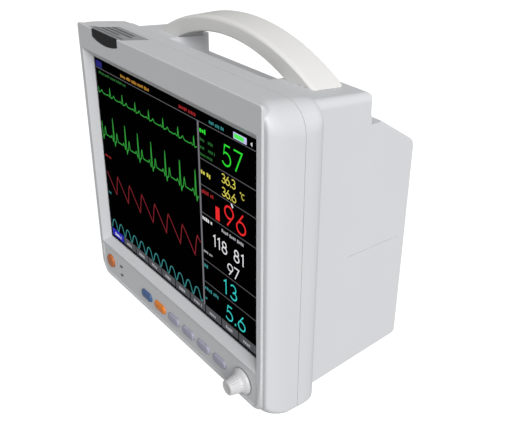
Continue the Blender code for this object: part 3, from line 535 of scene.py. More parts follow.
CASE = moulded("case_plastic", (0.545, 0.55, 0.565), 0.46, 0.4, mottle=0.012)
HANDLE_PLASTIC = moulded("handle_plastic", (0.665, 0.66, 0.645), 0.44, 0.4, mottle=0.012)
KNOB_PLASTIC = moulded("knob_plastic", (0.52, 0.52, 0.53), 0.36, 0.45, grain_depth=0.003)
TRIM = moulded("grey_trim_plastic", (0.16, 0.165, 0.175), 0.5)
BLACK = moulded("black_moulding", (0.016, 0.016, 0.017), 0.42)
LENS = moulded("smoked_lens_gloss", (0.006, 0.006, 0.007), 0.16, 0.1, grain_depth=0.0)
LABEL = moulded("label_foil", (0.27, 0.275, 0.285), 0.5, grain_depth=0.002)
LABEL_DARK = moulded("label_print", (0.085, 0.085, 0.09), 0.55, grain_depth=0.002)
GLASS = moulded("screen_glass_gloss", (0.0005, 0.0005, 0.0006), 0.25, 0.0, grain_depth=0.0)
ORANGE = moulded("orange_key_plastic", linear((214, 122, 38)), 0.4)
BROWN = moulded("power_button_plastic", linear((178, 98, 44)), 0.4)
BLUE = moulded("blue_key_plastic", linear((64, 92, 136)), 0.4)
PALE = moulded("pale_key_plastic", linear((152, 154, 170)), 0.42)
PIPE = moulded("light_pipe_plastic", (0.05, 0.052, 0.055), 0.3, 0.5, grain_depth=0.0)
STEEL = moulded("brushed_steel", (0.56, 0.56, 0.58), 0.32, metallic=1.0, grain=900.0,
                grain_depth=0.004, streaks=(1.0, 1.0, 12.0))
BRASS = moulded("brass_metal", (0.72, 0.55, 0.26), 0.3, metallic=1.0, grain_depth=0.003)
GOLD = moulded("contact_plating", (0.85, 0.65, 0.28), 0.25, metallic=1.0, grain_depth=0.0)
BOARD = moulded("circuit_board_mask", (0.012, 0.11, 0.045), 0.4, mottle=0.15)
RUBBER = moulded("rubber_moulding", (0.022, 0.022, 0.023), 0.8, 0.3, grain=700.0,
                 grain_depth=0.02)
BATTERY = moulded("battery_wrap_film", (0.06, 0.075, 0.14), 0.42)
BLUE_SOCKET = moulded("blue_socket_plastic", (0.035, 0.1, 0.32), 0.4)
GREEN_SOCKET = moulded("green_socket_plastic", (0.035, 0.26, 0.1), 0.4)

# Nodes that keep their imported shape, by finish.
KEPT = (
    (STEEL, "lcd_frame backlight_unit encoder_body encoder_shaft inner_chassis cuff_pump "
            "mounting_plate"),
    (BOARD, "display_driver_board key_board alarm_lamp_board main_board measuring_board "
            "power_supply"),
    (BRASS, "cuff_valve"),
    (BATTERY, "battery_pack"),
    (RUBBER, "cuff_hose"),
    (TRIM, "gas_module"),
    (BLACK, "encoder_plunger speaker"),
)
for finish, names in KEPT:
    for node_name in names.split():
        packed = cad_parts[node_name]
        packed.data.materials.clear()
        packed.data.materials.append(finish)


# ------------------------------------------------------------------- the shells

def clamped(value):
    return max(0.0, min(1.0, value))


def row_at(table, y):
    """Row of a table at a depth, between its rows in a straight line."""
    if y <= table[0][0]:
        return table[0][1:]
    for here, ahead in zip(table, table[1:]):
        if y <= ahead[0]:
            part = (y - here[0]) / (ahead[0] - here[0])
            return [a + (b - a) * part for a, b in zip(here[1:], ahead[1:])]
    return table[-1][1:]


def roof(y):
    """Height of the sloping top of the head."""
    return HEAD_TOP + HEAD_SLOPE * (y - CREST_Y)


def spoke_angles():
    """Angles of the spokes, anticlockwise from the right and close together at corners."""
    corner = math.atan2(HEAD_TOP - CENTRE_Z, RIM_HALF)
    angles = []
    for quadrant in range(4):
        low = math.pi / 2 * quadrant
        high = low + math.pi / 2
        middle = high - corner if quadrant % 2 else low + corner
        before, after = middle - CORNER_REACH, middle + CORNER_REACH
        for step in range(FLAT_SPOKES):
            angles.append(low + (before - low) * step / FLAT_SPOKES)
        for step in range(CORNER_SPOKES):
            share = -1.0 + 2.0 * step / CORNER_SPOKES
            crowded = CORNER_EVEN * share + (1.0 - CORNER_EVEN) * share ** 3
            angles.append(middle + CORNER_REACH * crowded)
        for step in range(FLAT_SPOKES):
            angles.append(after + (high - after) * step / FLAT_SPOKES)
    return angles


SPOKE_ANGLES = spoke_angles()


def reach_of(outline):
    """Distance from the middle to an outline along each spoke."""
    polar = sorted((math.atan2(z - CENTRE_Z, x) % (2.0 * math.pi), x, z) for x, z in outline)
    distances = []
    count = len(polar)
    index = 0
    for angle in SPOKE_ANGLES:
        turn = angle % (2.0 * math.pi)
        while index < count and polar[index][0] < turn:
            index += 1
        _, x0, z0 = polar[index - 1]
        _, x1, z1 = polar[index % count]
        dx, dz = math.cos(turn), math.sin(turn)
        ex, ez = x1 - x0, z1 - z0
        cross = dx * ez - dz * ex
        if abs(cross) < 1e-9:
            distances.append(math.hypot(x1, z1 - CENTRE_Z))
            continue
        distances.append((x0 * ez - (z0 - CENTRE_Z) * ex) / cross)
    return distances


def either(a, b, blend):
    """Larger of two values, with a soft change from one to the other."""
    if blend <= 0.0 or abs(a - b) >= blend:
        return max(a, b)
    return max(a, b) + (blend - abs(a - b)) ** 2 / (4.0 * blend)


def body_outline(y, shrink):
    """Front view of the head behind its rim."""
    half, bottom, drop, *radii = row_at(HEAD_SECTIONS, y)
    half = min(half, HEAD_HALF) - shrink
    bottom += shrink
    top = roof(y) - drop - shrink
    bottom_r, right_r, left_r = [max(radius - shrink, 1.0) for radius in radii]
    corners = [(-half, bottom), (half, bottom), (half, top), (-half, top)]
    return fillet(corners, [bottom_r, bottom_r, right_r, left_r], HEAD_STEPS)


def rim_outline(y, shrink):
    """Front view of the rim, whose flat curves in towards the lower corners."""
    bottom_r, right_r, left_r = [max(r - shrink, 0.6) for r in row_at(RIM_CORNERS, y)]
    half = RIM_HALF - shrink
    bottom = RIM_BOTTOM + shrink
    top = roof(y) - shrink
    side = [bottom + bottom_r + 0.5 + (FLAT_CURVE_TOP - bottom - bottom_r) * step / FLAT_CURVE_STEPS
            for step in range(FLAT_CURVE_STEPS + 1)]
    corners = [(-half, bottom), (half, bottom), (half, top), (-half, top)]
    rounded = fillet(corners, [bottom_r, bottom_r, right_r, left_r], HEAD_STEPS)
    arc = HEAD_STEPS + 1
    outline = rounded[:2 * arc] + [(half, z) for z in side] + rounded[2 * arc:]
    outline += [(-half, z) for z in reversed(side)]
    pull = clamped((FLAT_REAR_Y - y) / (FLAT_REAR_Y - CREST_Y))
    curved = []
    for x, z in outline:
        rise = clamped(1.0 - (z - bottom) / (FLAT_CURVE_TOP - bottom))
        side_share = min(1.0, abs(x) / half) ** FLAT_CURVE_POWER
        curved.append((x - math.copysign(FLAT_CURVE * pull * rise ** 2 * side_share, x), z))
    return curved


def head_ring(y, rim_shrink):
    """Outline of the rim and the head together."""
    reaches = reach_of(rim_outline(y, rim_shrink))
    if y > HEAD_SECTIONS[0][0]:
        behind = reach_of(body_outline(y, 0.0))
        blends = [BLEND * clamped((abs(math.cos(a)) * r - BLEND_FROM) / BLEND_LENGTH)
                  for a, r in zip(SPOKE_ANGLES, reaches)]
        reaches = [either(a, b, blend) for a, b, blend in zip(reaches, behind, blends)]
    return [(r * math.cos(a), CENTRE_Z + r * math.sin(a)) for a, r in zip(SPOKE_ANGLES, reaches)]


def fine_levels(start, end):
    """Depths at which the head gets an outline."""
    levels = {start, end}
    for here, ahead in zip(HEAD_SECTIONS, HEAD_SECTIONS[1:]):
        for step in range(SECTION_STEPS):
            levels.add(here[0] + (ahead[0] - here[0]) * step / SECTION_STEPS)
    levels.add(HEAD_SECTIONS[-1][0])
    return sorted(level for level in levels if start <= level <= end)


def head_solid(start, end, shrink=0.0):
    """Display head between two depths. A shrunken one is for its cavity and has no rim."""
    if shrink:
        rings = [(y, body_outline(y, shrink)) for y in fine_levels(start, end)]
        return loft(rings, "Y")
    rings = []
    if start <= CREST_Y:
        for level, inwards in rim_arc(CREST_Y, RIM_EDGE_R, 1.0, 5):
            rings.append((level, head_ring(level, inwards)))
        start = RIM_REAR_Y
    rings += [(y, head_ring(y, 0.0)) for y in fine_levels(start, end)]
    return loft(rings, "Y")


def node_centre(name, across="x"):
    """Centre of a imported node, seen from the front or, across y, from the side."""
    low, high = corners_mm(name)
    return (getattr(low, across) + getattr(high, across)) / 2, (low.z + high.z) / 2


KEYS = [node_centre("function_key_" + str(index + 1)) for index in range(KEY_COUNT)]
POWER = node_centre("power_button")
KNOB = node_centre("encoder_knob")
POWER_R = 7.0


def key_outline(centre, grow=0.0, steps=ARC_STEPS):
    x, z = centre
    half_w = KEY_W / 2 + grow
    half_h = KEY_H / 2 + grow
    return rectangle((x - half_w, x + half_w), (z - half_h, z + half_h), KEY_R + grow, steps)


def lens_outline(shrink, top, steps=20):
    """Front view of the alarm lens, with a shallow arc along its lower edge."""
    left = LENS_LEFT + shrink
    right = LENS_RIGHT - shrink
    half = (right - left) / 2
    rise = LENS_DROP_SIDE - LENS_DROP_MID
    outline = []
    for step in range(steps + 1):
        along = -1.0 + 2.0 * step / steps
        outline.append((left + half * (1.0 + along), LENS_DROP_MID + shrink + rise * along * along))
    return outline + [(right, top), (left, top)]


def opening(name, margin, start, end):
    """Block over a node, for a hole through a wall along y."""
    low, high = corners_mm(name)
    return box((low.x - margin, start, low.z - margin), (high.x + margin, end, high.z + margin))


def front_bezel():
    """Front shell: raised rim, bevelled opening and the control strip in its shallow step."""
    bezel = to_object("bezel_shell", head_solid(CREST_Y, PARTING_Y))
    window = (SCREEN_W / 2 + WINDOW_MARGIN, SCREEN_Z - SCREEN_H / 2 - WINDOW_MARGIN,
              SCREEN_Z + SCREEN_H / 2 + WINDOW_MARGIN)

    def flare(part):
        half = OPENING_HALF_W + (window[0] - OPENING_HALF_W) * part
        low = OPENING_BOTTOM + (window[1] - OPENING_BOTTOM) * part
        high = OPENING_TOP + (window[2] - OPENING_TOP) * part
        return rectangle((-half, half), (low, high), 1.6 - 0.8 * part, 4)

    front = CREST_Y - PAST
    flared = loft([(front, flare(0.0)), (CREST_Y, flare(0.0)), (LIP_Y, flare(1.0)),
                   (BEZEL_BACK_Y + 2.0, flare(1.0))], "Y")
    cavity = head_solid(BEZEL_BACK_Y, PARTING_Y, WALL)
    for vert in cavity.verts:
        if vert.co.y > PARTING_Y - 0.01:
            vert.co.y += PAST
    carve(bezel, cavity)
    carve(bezel, flared)

    strip_half = OPENING_HALF_W + 0.4
    strip = [(-strip_half, STRIP_LOW), (strip_half, STRIP_LOW), (strip_half, STRIP_TOP),
             (-strip_half, STRIP_TOP)]
    steps = (
        # depth and lean as shares, corner radii: lower, upper
        (-1.0 / STRIP_DROP, -1.0, 5.0, 1.5),
        (0.0, 0.0, 5.0, 1.5),
        (0.75, 0.45, 4.6, 1.2),
        (1.0, 1.0, 4.2, 1.0),
    )
    carve(bezel, loft([
        (CREST_Y + STRIP_DROP * depth,
         fillet(inset(strip, STRIP_SLOPE * lean), [lower, lower, upper, upper], 5))
        for depth, lean, lower, upper in steps], "Y"))

    through = (CREST_Y - PAST, BEZEL_BACK_Y + PAST)
    holes = [prism(key_outline(centre, GAP), *through, "Y") for centre in KEYS]
    holes.append(cylinder(POWER, POWER_R + GAP, *through))
    holes += [opening(name, PIPE_GAP, *through) for name in LIGHT_PIPES]
    holes.append(prism(lens_outline(0.0, HEAD_TOP + PAST), through[0], LENS_BACK_Y + GAP, "Y"))
    holes.append(cylinder(KNOB, WELL_R, through[0], WELL_Y))
    carve(bezel, *holes)
    carve(bezel, cylinder(KNOB, BUSHING_R + GAP, *through))
    soften(bezel, 0.28, 30.0)
    finish_piece(bezel, CASE, ("front_bezel",))


def housing_solid(name, shrink):
    """Rear housing filled in: display head, rear case and handle recess."""
    start = PARTING_Y + GAP if shrink == 0.0 else PARTING_Y - PAST
    solid = to_object(name, head_solid(start, SHOULDER_Y - shrink, shrink))
    radii = [max(radius - shrink, 0.0) for radius in CASE_PROFILE_RADII]
    profile = fillet(inset(CASE_PROFILE, shrink), radii)
    half = CASE_HALF_W - shrink
    edge = max(CASE_EDGE_R - shrink, 0.0)
    case = to_object(name + "_case", prism(profile, -half, half, "X", edge, edge))
    combine(case, "INTERSECT", to_object("tower_tool", tower_rounding(half, shrink)))
    combine(solid, "UNION", case)

    side = RECESS_HALF_W + shrink
    rear = TOWER_REAR_Y - shrink
    front = RECESS_FRONT_Y - shrink
    corners = [
        (-side, front), (side, front), (side, rear),
        (BEYOND, rear), (BEYOND, BEYOND), (-BEYOND, BEYOND), (-BEYOND, rear), (-side, rear),
    ]
    flare = RECESS_FLARE_R - shrink
    outline = fillet(corners, [0, 0, flare, 0, 0, 0, 0, flare], 14)
    carve(solid, prism(outline, RECESS_FLOOR - shrink, BEYOND, "Z"))
    return solid


def tower_rise(y):
    """Height of the sloping tops of the towers at a depth, over their front end."""
    (rear_y, rear_z), (front_y, front_z) = CASE_PROFILE[4:6]
    return (rear_z - front_z) / (rear_y - front_y) * (y - front_y)


def tower_rounding(half, shrink):
    """Block whose upper edges are rounded and follow the sloping tops of the towers."""
    front_y, front_z = CASE_PROFILE[5]
    radius = TOWER_EDGE_R - shrink
    top = front_z - shrink
    low = top - radius
    wide = half + PAST
    below = [(-wide, low - PAST), (-wide, -BEYOND), (wide, -BEYOND), (wide, low - PAST)]
    arch = fillet([(-half, 0.0), (half, 0.0), (half, top), (-half, top)], [0, 0, radius, radius])
    block = prism(below + arch[2:], front_y - PAST, REAR_Y + PAST, "Y")
    for vert in block.verts:
        vert.co.z += tower_rise(vert.co.y)
    return block


def mount_block(shrink, low, high):
    half = MOUNT_HALF - shrink
    return box(
        (-half, MOUNT_Y - half, low), (half, MOUNT_Y - MOUNT_SETBACK + half, high))


def rear_housing():
    """Rear shell with its openings for the panels, the vents and the screws."""
    housing = housing_solid("rear_shell", 0.0)
    combine(housing, "DIFFERENCE", housing_solid("cavity", WALL))

    left = -CASE_HALF_W
    rear = (REAR_Y - PAST, REAR_Y + PAST)
    holes = [
        prism(rectangle(SIDE_PANEL_Y, SIDE_PANEL_Z, 5.0, 6), left - PAST, left + PAST, "X"),
        prism(rectangle(REAR_PLATE_X, REAR_PLATE_Z, 4.0, 6), *rear, "Y"),
        prism(rectangle(BATTERY_X, BATTERY_Z, 4.0, 6), *rear, "Y"),
        mount_block(0.0, 0.0, 23.0),
    ]
    for row in range(VENT_ROWS):
        low = VENT_Z + VENT_PITCH * row
        slot = rectangle((-VENT_HALF_W, VENT_HALF_W), (low, low + VENT_H), VENT_H / 2 - 0.05, 5)
        holes.append(prism(slot, *rear, "Y"))
    for place in HOUSING_SCREWS:
        holes.append(cylinder(place, SCREW_HOLE_R, *rear, steps=24))
    carve(housing, *holes)
    sinks = [cylinder(place, SCREW_HEAD_R + 0.5, REAR_Y - SINK_DEPTH, rear[1], steps=40)
             for place in HOUSING_SCREWS]
    (start, end), height = SIDE_GROOVE
    sinks.append(box((CASE_HALF_W - 0.6, start, height), (CASE_HALF_W + PAST, end, height + 0.7)))
    carve(housing, *sinks)
    soften(housing, 0.3, 32.0)
    finish_piece(housing, CASE, ("rear_housing",))
    return housing


def arc_points(half_span, foot_z, top_z, steps):
    """Circular arch from left to right through two feet and an apex."""
    rise = top_z - foot_z
    radius = (half_span ** 2 + rise ** 2) / (2.0 * rise)
    spread = math.asin(half_span / radius)
    angles = [spread * (-1.0 + 2.0 * step / steps) for step in range(steps + 1)]
    return [(radius * math.sin(a), top_z - radius * (1.0 - math.cos(a))) for a in angles]


def carry_handle():
    """Arched strap with a soft front edge, whose feet follow the tops of the towers."""
    outer = arc_points(HANDLE_OUTER_HALF, HANDLE_OUTER_FOOT, HANDLE_TOP, HANDLE_STEPS)
    inner = arc_points(HANDLE_INNER_HALF, HANDLE_INNER_FOOT, HANDLE_ARCH_TOP, HANDLE_STEPS)
    bm = bmesh.new()
    loops = []
    for top, low in zip(outer, inner):
        strut = Vector(top) - Vector(low)
        upward = strut.normalized()
        corners = [(HANDLE_REAR_Y, strut.length), (HANDLE_FRONT_Y, strut.length),
                   (HANDLE_FRONT_Y, 0.0), (HANDLE_REAR_Y, 0.0)]
        section = fillet(corners, HANDLE_RADII, 7)
        loops.append([
            bm.verts.new((low[0] + upward.x * h, y, low[1] + upward.y * h)) for y, h in section])
    for lower, upper in zip(loops, loops[1:]):
        bridge(bm, lower, upper)
    for end in (loops[0], loops[-1]):
        feet = []
        for vert in end:
            floor = CASE_PROFILE[5][1] + tower_rise(vert.co.y) + HANDLE_FOOT_GAP
            feet.append(bm.verts.new((vert.co.x, vert.co.y, floor)))
        bridge(bm, end, feet)
        bm.faces.new(feet)
    handle = to_object("handle_strap", close(bm))
    finish_piece(handle, HANDLE_PLASTIC, ("carry_handle",), 50.0)


# --------------------------------------------------------------- control strip

def crowned(outline, front, rear, edge, crown, steps=4):
    """Cap with a rounded rim and a slightly domed front."""
    centre = sum((Vector(point) for point in outline), Vector((0.0, 0.0))) / len(outline)
    inner = inset(outline, edge)
    levels = []
    for step in range(6):
        scale = 0.12 + 0.88 * step / 5
        level = front - crown * (1.0 - scale ** 2)
        levels.append((level, [centre + (point - centre) * scale for point in inner]))
    levels += [(level, inset(outline, shrink)) for level, shrink in
               rim_arc(front, edge, 1.0, steps)[1:]]
    levels.append((rear, outline))
    return loft(levels, "Y")


def cap_and_flange(name, node, outline, wider):
    """Domed cap with a separate flange behind it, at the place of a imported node."""
    low, high = corners_mm(node)
    rear = high.y - FLANGE_T
    cap = crowned(outline, low.y + CAP_DOME, rear - CAP_GAP, CAP_EDGE_R, CAP_DOME)
    return to_object(name, merged(cap, prism(wider, rear, high.y, "Y")))


def controls():
    """Power button, function keys and the light pipes of the indicators."""
    finishes = (BLUE, ORANGE) + (PALE,) * (KEY_COUNT - 2)
    for index, centre in enumerate(KEYS):
        name = "function_key_" + str(index + 1)
        key = cap_and_flange("key_cap_" + str(index + 1), name, key_outline(centre, 0.0, 8),
                             key_outline(centre, FLANGE, 8))
        finish_piece(key, finishes[index], (name,), 45.0, name)
    button = cap_and_flange("power_cap", "power_button", circle(POWER, POWER_R, 48),
                            circle(POWER, POWER_R + FLANGE))
    finish_piece(button, BROWN, ("power_button",), 45.0, "power_button")
    for name in LIGHT_PIPES:
        low, high = corners_mm(name)
        pipe = to_object(name + "_lens", box(low, high, 0.35))
        finish_piece(pipe, PIPE, (name,))


def knob():
    """Turn-and-push knob: round skirt and a tapering grip with shallow flutes."""
    low, high = corners_mm("encoder_knob")
    base_y, tip_y = high.y, low.y
    base_r = (high.x - low.x) / 2
    depth = base_y - tip_y
    tip_r = KNOB_TIP_R
    steps = 8 * KNOB_FLUTES
    profile = [
        # share of the depth, radius, flute depth
        (0.0, base_r, 0.0), (0.075, base_r, 0.0), (0.13, base_r - 0.35, 0.0),
        (0.19, base_r - 1.5, 0.0), (0.25, base_r - 2.7, 0.0), (0.31, base_r - 3.35, 0.1),
        (0.40, tip_r + 1.35, 0.3), (0.55, tip_r + 0.95, 0.34), (0.70, tip_r + 0.55, 0.34),
        (0.85, tip_r + 0.2, 0.3), (0.93, tip_r, 0.2), (0.97, tip_r - 0.35, 0.08),
        (1.0, tip_r - 1.1, 0.0), (0.985, tip_r - 2.0, 0.0), (0.975, tip_r - 4.5, 0.0),
    ]
    rings = []
    for share, radius, flute in profile:
        outline = []
        for step in range(steps):
            angle = 2.0 * math.pi * step / steps
            r = radius - flute * (0.5 + 0.5 * math.cos(KNOB_FLUTES * angle)) ** 2
            outline.append((KNOB[0] + r * math.cos(angle), KNOB[1] + r * math.sin(angle)))
        rings.append((base_y - depth * share, outline))
    body = to_object("knob_grip", loft(rings, "Y"))
    carve(body, cylinder(KNOB, BUSHING_R + 1.5, base_y - 1.6, base_y + PAST, steps=48))
    carve(body, cylinder(KNOB, SHAFT_HOLE_R, base_y - SHAFT_HOLE_DEPTH, base_y, steps=32))
    finish_piece(body, KNOB_PLASTIC, ("encoder_knob",), 42.0, "encoder_knob")


def follow_roof(bm, above=0.0):
    """Tilt what lies on the top of the head, or the part of it above a height."""
    for vert in bm.verts:
        if vert.co.z > above:
            vert.co.z += roof(vert.co.y) - HEAD_TOP
    return bm


def alarm_lens():
    low, high = corners_mm("alarm_lens")
    outline = lens_outline(GAP, high.z)
    lens = to_object("alarm_window", follow_roof(prism(outline, low.y, high.y, "Y"), LENS_TILT_FROM))
    soften(lens, 0.45, 40.0, 3)
    finish_piece(lens, LENS, ("alarm_lens",))


def top_label():
    """Foil label on the top behind the lens, with a few plain printed bars."""

    def flat(x_range, y_range, under, over):
        return box((x_range[0], y_range[0], HEAD_TOP + under),
                   (x_range[1], y_range[1], HEAD_TOP + over))

    label = to_object("top_label", follow_roof(flat(LABEL_X, LABEL_Y, -0.05, 0.06)))
    finish_piece(label, LABEL)
    bars = [flat(*LABEL_BAR, 0.02, 0.10)]
    for row, x_range in enumerate(LABEL_ROWS):
        y = LABEL_ROW_Y + LABEL_ROW_PITCH * row
        bars.append(flat(x_range, (y, y + LABEL_ROW_DEPTH), 0.02, 0.10))
    printed = to_object("top_label_print", follow_roof(merged(*bars)))
    finish_piece(printed, LABEL_DARK)


# ----------------------------------------------------------------------- screen

SCREEN_LEFT = -SCREEN_W / 2
SCREEN_RIGHT = SCREEN_W / 2
SCREEN_LOW = SCREEN_Z - SCREEN_H / 2
SCREEN_HIGH = SCREEN_Z + SCREEN_H / 2
PICTURE_Y = GLASS_Y - 0.12
PICTURE_T = 0.08
BEAT = 23.45
FIRST_BEAT = -99.6

TINTS = {
    "green": (40, 226, 48),
    "trace_green": (44, 158, 54),
    "dim_green": (26, 96, 34),
    "yellow": (214, 204, 84),
    "red": (240, 34, 36),
    "trace_red": (128, 22, 34),
    "dim_red": (150, 24, 30),
    "white": (232, 232, 236),
    "pale": (168, 168, 174),
    "cyan": (50, 206, 200),
    "trace_cyan": (52, 136, 136),
    "dim_cyan": (48, 132, 132),
    "orange": (176, 124, 40),
    "line": (92, 92, 96),
    "divider": (116, 116, 122),
    "tab": (78, 79, 82),
    "tab_blue": (30, 34, 176),
    "navy": (16, 18, 110),
    "lime": (84, 240, 96),
    "lavender": (200, 196, 244),
}
picture = {tint: [] for tint in TINTS}


def block(tint, x0, z0, x1, z1, front=0.0):
    """Flat patch of the picture. Front lifts it over a patch below it."""
    y = PICTURE_Y - front
    picture[tint].append(box((x0, y, z0), (x1, y + PICTURE_T, z1)))


def ribbon(tint, points, width):
    """Line of the picture along points, with mitred corners."""
    points = [Vector(p) for p in points]
    left, right = [], []
    for index, here in enumerate(points):
        before = points[max(index - 1, 0)]
        ahead = points[min(index + 1, len(points) - 1)]
        arriving = (here - before).normalized() if index else (ahead - here).normalized()
        leaving = (ahead - here).normalized() if index < len(points) - 1 else arriving
        normal = Vector((-arriving.y - leaving.y, arriving.x + leaving.x))
        if normal.length < 0.2:
            normal = Vector((-leaving.y, leaving.x))
        normal.normalize()
        facing = max(normal.dot(Vector((-leaving.y, leaving.x))), 0.45)
        left.append(here + normal * width / 2 / facing)
        right.append(here - normal * width / 2 / facing)
    bm = bmesh.new()
    rows = []
    for y in (PICTURE_Y, PICTURE_Y + PICTURE_T):
        rows.append([[bm.verts.new((p.x, y, p.y)) for p in side] for side in (left, right)])
    (fl, fr), (bl, br) = rows
    for a in range(len(points) - 1):
        b = a + 1
        bm.faces.new((fl[a], fl[b], fr[b], fr[a]))
        bm.faces.new((bl[a], br[a], br[b], bl[b]))
        bm.faces.new((fl[a], bl[a], bl[b], fl[b]))
        bm.faces.new((fr[a], fr[b], br[b], br[a]))
    for end in (0, len(points) - 1):
        bm.faces.new((fl[end], fr[end], br[end], bl[end]))
    picture[tint].append(close(bm))


def bow(centre, radius, start, end, steps=18):
    """Points on an arc, with the angles in degrees, anticlockwise from the right."""
    points = []
    for step in range(steps + 1):
        angle = math.radians(start + (end - start) * step / steps)
        points.append((centre[0] + radius[0] * math.cos(angle),
                       centre[1] + radius[1] * math.sin(angle)))
    return points


# Strokes of the numerals in a box one high, and each numeral's width.
NUMERALS = {
    "1": (0.30, [[(0.02, 0.84), (0.22, 1.0), (0.22, 0.0)]]),
    "3": (0.58, [bow((0.26, 0.74), (0.24, 0.26), 150, -90, 16)
                 + bow((0.27, 0.27), (0.29, 0.27), 80, -155, 18)]),
    "5": (0.62, [[(0.56, 1.0), (0.19, 1.0), (0.11, 0.56)]
                 + bow((0.28, 0.32), (0.32, 0.32), 118, -150, 22)]),
    "6": (0.64, [[(0.46, 1.0), (0.06, 0.44)] + bow((0.32, 0.30), (0.30, 0.30), 150, 480, 26)]),
    "7": (0.62, [[(0.02, 1.0), (0.60, 1.0), (0.14, 0.0)]]),
    "8": (0.58, [bow((0.29, 0.755), (0.215, 0.245), 90, 449, 24),
                 bow((0.29, 0.27), (0.27, 0.27), 90, 449, 24)]),
    "9": (0.64, [[(0.18, 0.0), (0.58, 0.56)] + bow((0.32, 0.70), (0.30, 0.30), -30, 300, 26)]),
    ".": (0.22, [[(0.06, 0.04), (0.16, 0.04)]]),
}
NUMERAL_SPACE = 0.20


def number(tint, text, x, z, height, weight=0.085, space=NUMERAL_SPACE, wide=1.0):
    """Numerals in thin strokes, from their lower left corner."""
    for character in text:
        if character == " ":
            x += height * 0.34
            continue
        width, strokes = NUMERALS[character]
        for stroke in strokes:
            points = [(x + px * height * wide, z + weight * height / 2
                       + pz * height * (1.0 - weight)) for px, pz in stroke]
            ribbon(tint, points, height * weight * (1.6 if character == "." else 1.0))
        x += (width * wide + space) * height


letters = random.Random(7)


def greeked(tint, x0, x1, z, height, word=4, front=0.0):
    """Row of small marks that stands for a line of text without any lettering."""
    x = x0
    count = 0
    while x < x1 - height * 0.3:
        width = height * letters.uniform(0.42, 0.62)
        low = letters.uniform(0.0, 0.22) * height
        high = letters.uniform(0.72, 1.0) * height
        block(tint, x, z + low, min(x + width, x1), z + high, front)
        x += width + height * 0.2
        count += 1
        if count % word == 0:
            x += height * 0.45


def wave(tint, start, end, shape, width, pitch=0.6):
    """Trace whose height is a function of the place."""
    count = int((end - start) / pitch)
    places = [start + (end - start) * step / count for step in range(count + 1)]
    ribbon(tint, [(x, shape(x)) for x in places], width)


def bump(x, centre, spread, height):
    """Smooth bump of a trace at a place."""
    return height * math.exp(-((x - centre) / spread) ** 2)


def beats(x):
    """Place within one heartbeat, from -0.5 to 0.5 of its length round the spike."""
    phase = (x - FIRST_BEAT) / BEAT
    return (phase - round(phase)) * BEAT


def spikes(base, *waves):
    """Trace with the same bumps in every heartbeat: place, spread and height of each."""
    return lambda x: sum((bump(beats(x), *one) for one in waves), base)


small_trace = spikes(207.9, (0.0, 0.55, 8.2), (1.5, 0.7, -0.9), (-4.2, 1.2, 1.1), (7.0, 1.6, 2.7))
tall_trace = spikes(166.3, (0.0, 0.62, 21.5), (1.6, 0.9, -5.8), (-1.5, 0.7, -2.6),
                    (-4.4, 1.0, 2.6), (6.4, 1.1, 7.6), (3.8, 1.3, -1.8))


def pulse_trace(x):
    t = beats(x - 0.2)
    fall = (t if t > 0.0 else t + BEAT) / BEAT
    if fall < 0.77:
        return 127.2 - 21.0 * (fall / 0.77) - bump(fall, 0.0, 0.05, 1.4)
    return 106.2 + 21.0 * math.sin((fall - 0.77) / 0.23 * math.pi / 2) ** 1.2


def breath_trace(x):
    phase = 2.0 * math.pi * (x + 116.0) / 13.9
    return 69.6 + 5.2 * math.cos(phase) - 1.0 * math.cos(2.0 * phase)


DIVIDER_X = 47.8
TITLE_Z = 230.8
TAB_TOP = 62.6
CELL_LINES = (200.6, 178.0, 153.0, 109.0, 87.2)


def picture_traces():
    """The four traces and the words over them."""
    end = DIVIDER_X - 2.4
    wave("trace_green", SCREEN_LEFT + 0.4, end, small_trace, 0.9, 0.35)
    wave("trace_green", SCREEN_LEFT + 0.4, end, tall_trace, 1.0, 0.3)
    wave("trace_red", SCREEN_LEFT + 0.4, end, pulse_trace, 1.1, 0.5)
    wave("trace_cyan", SCREEN_LEFT + 0.4, end, breath_trace, 1.15, 0.6)
    greeked("dim_green", -118.5, -67.0, 225.6, 2.8, 5)
    greeked("dim_red", -122.0, -110.0, 142.0, 2.6, 3)
    greeked("dim_cyan", -122.5, -117.5, 101.6, 2.6, 3)


def picture_title():
    """Title bar along the top."""
    block("line", SCREEN_LEFT, TITLE_Z - 0.3, SCREEN_RIGHT, TITLE_Z + 0.3)
    block("navy", SCREEN_LEFT, 231.6, -111.0, SCREEN_HIGH - 0.6)
    greeked("orange", -75.5, -26.0, 232.9, 3.2, 4)
    greeked("dim_red", 21.0, 45.5, 232.9, 3.2, 5)
    greeked("dim_cyan", 63.5, 84.0, 232.9, 3.0, 3)
    block("lavender", 94.8, 231.9, 110.9, 237.0)
    block("lime", 95.7, 232.7, 107.6, 236.2, 0.04)
    ribbon("white", [(115.6, 234.4), (117.2, 235.5), (117.2, 233.3), (115.6, 234.4)], 0.6)


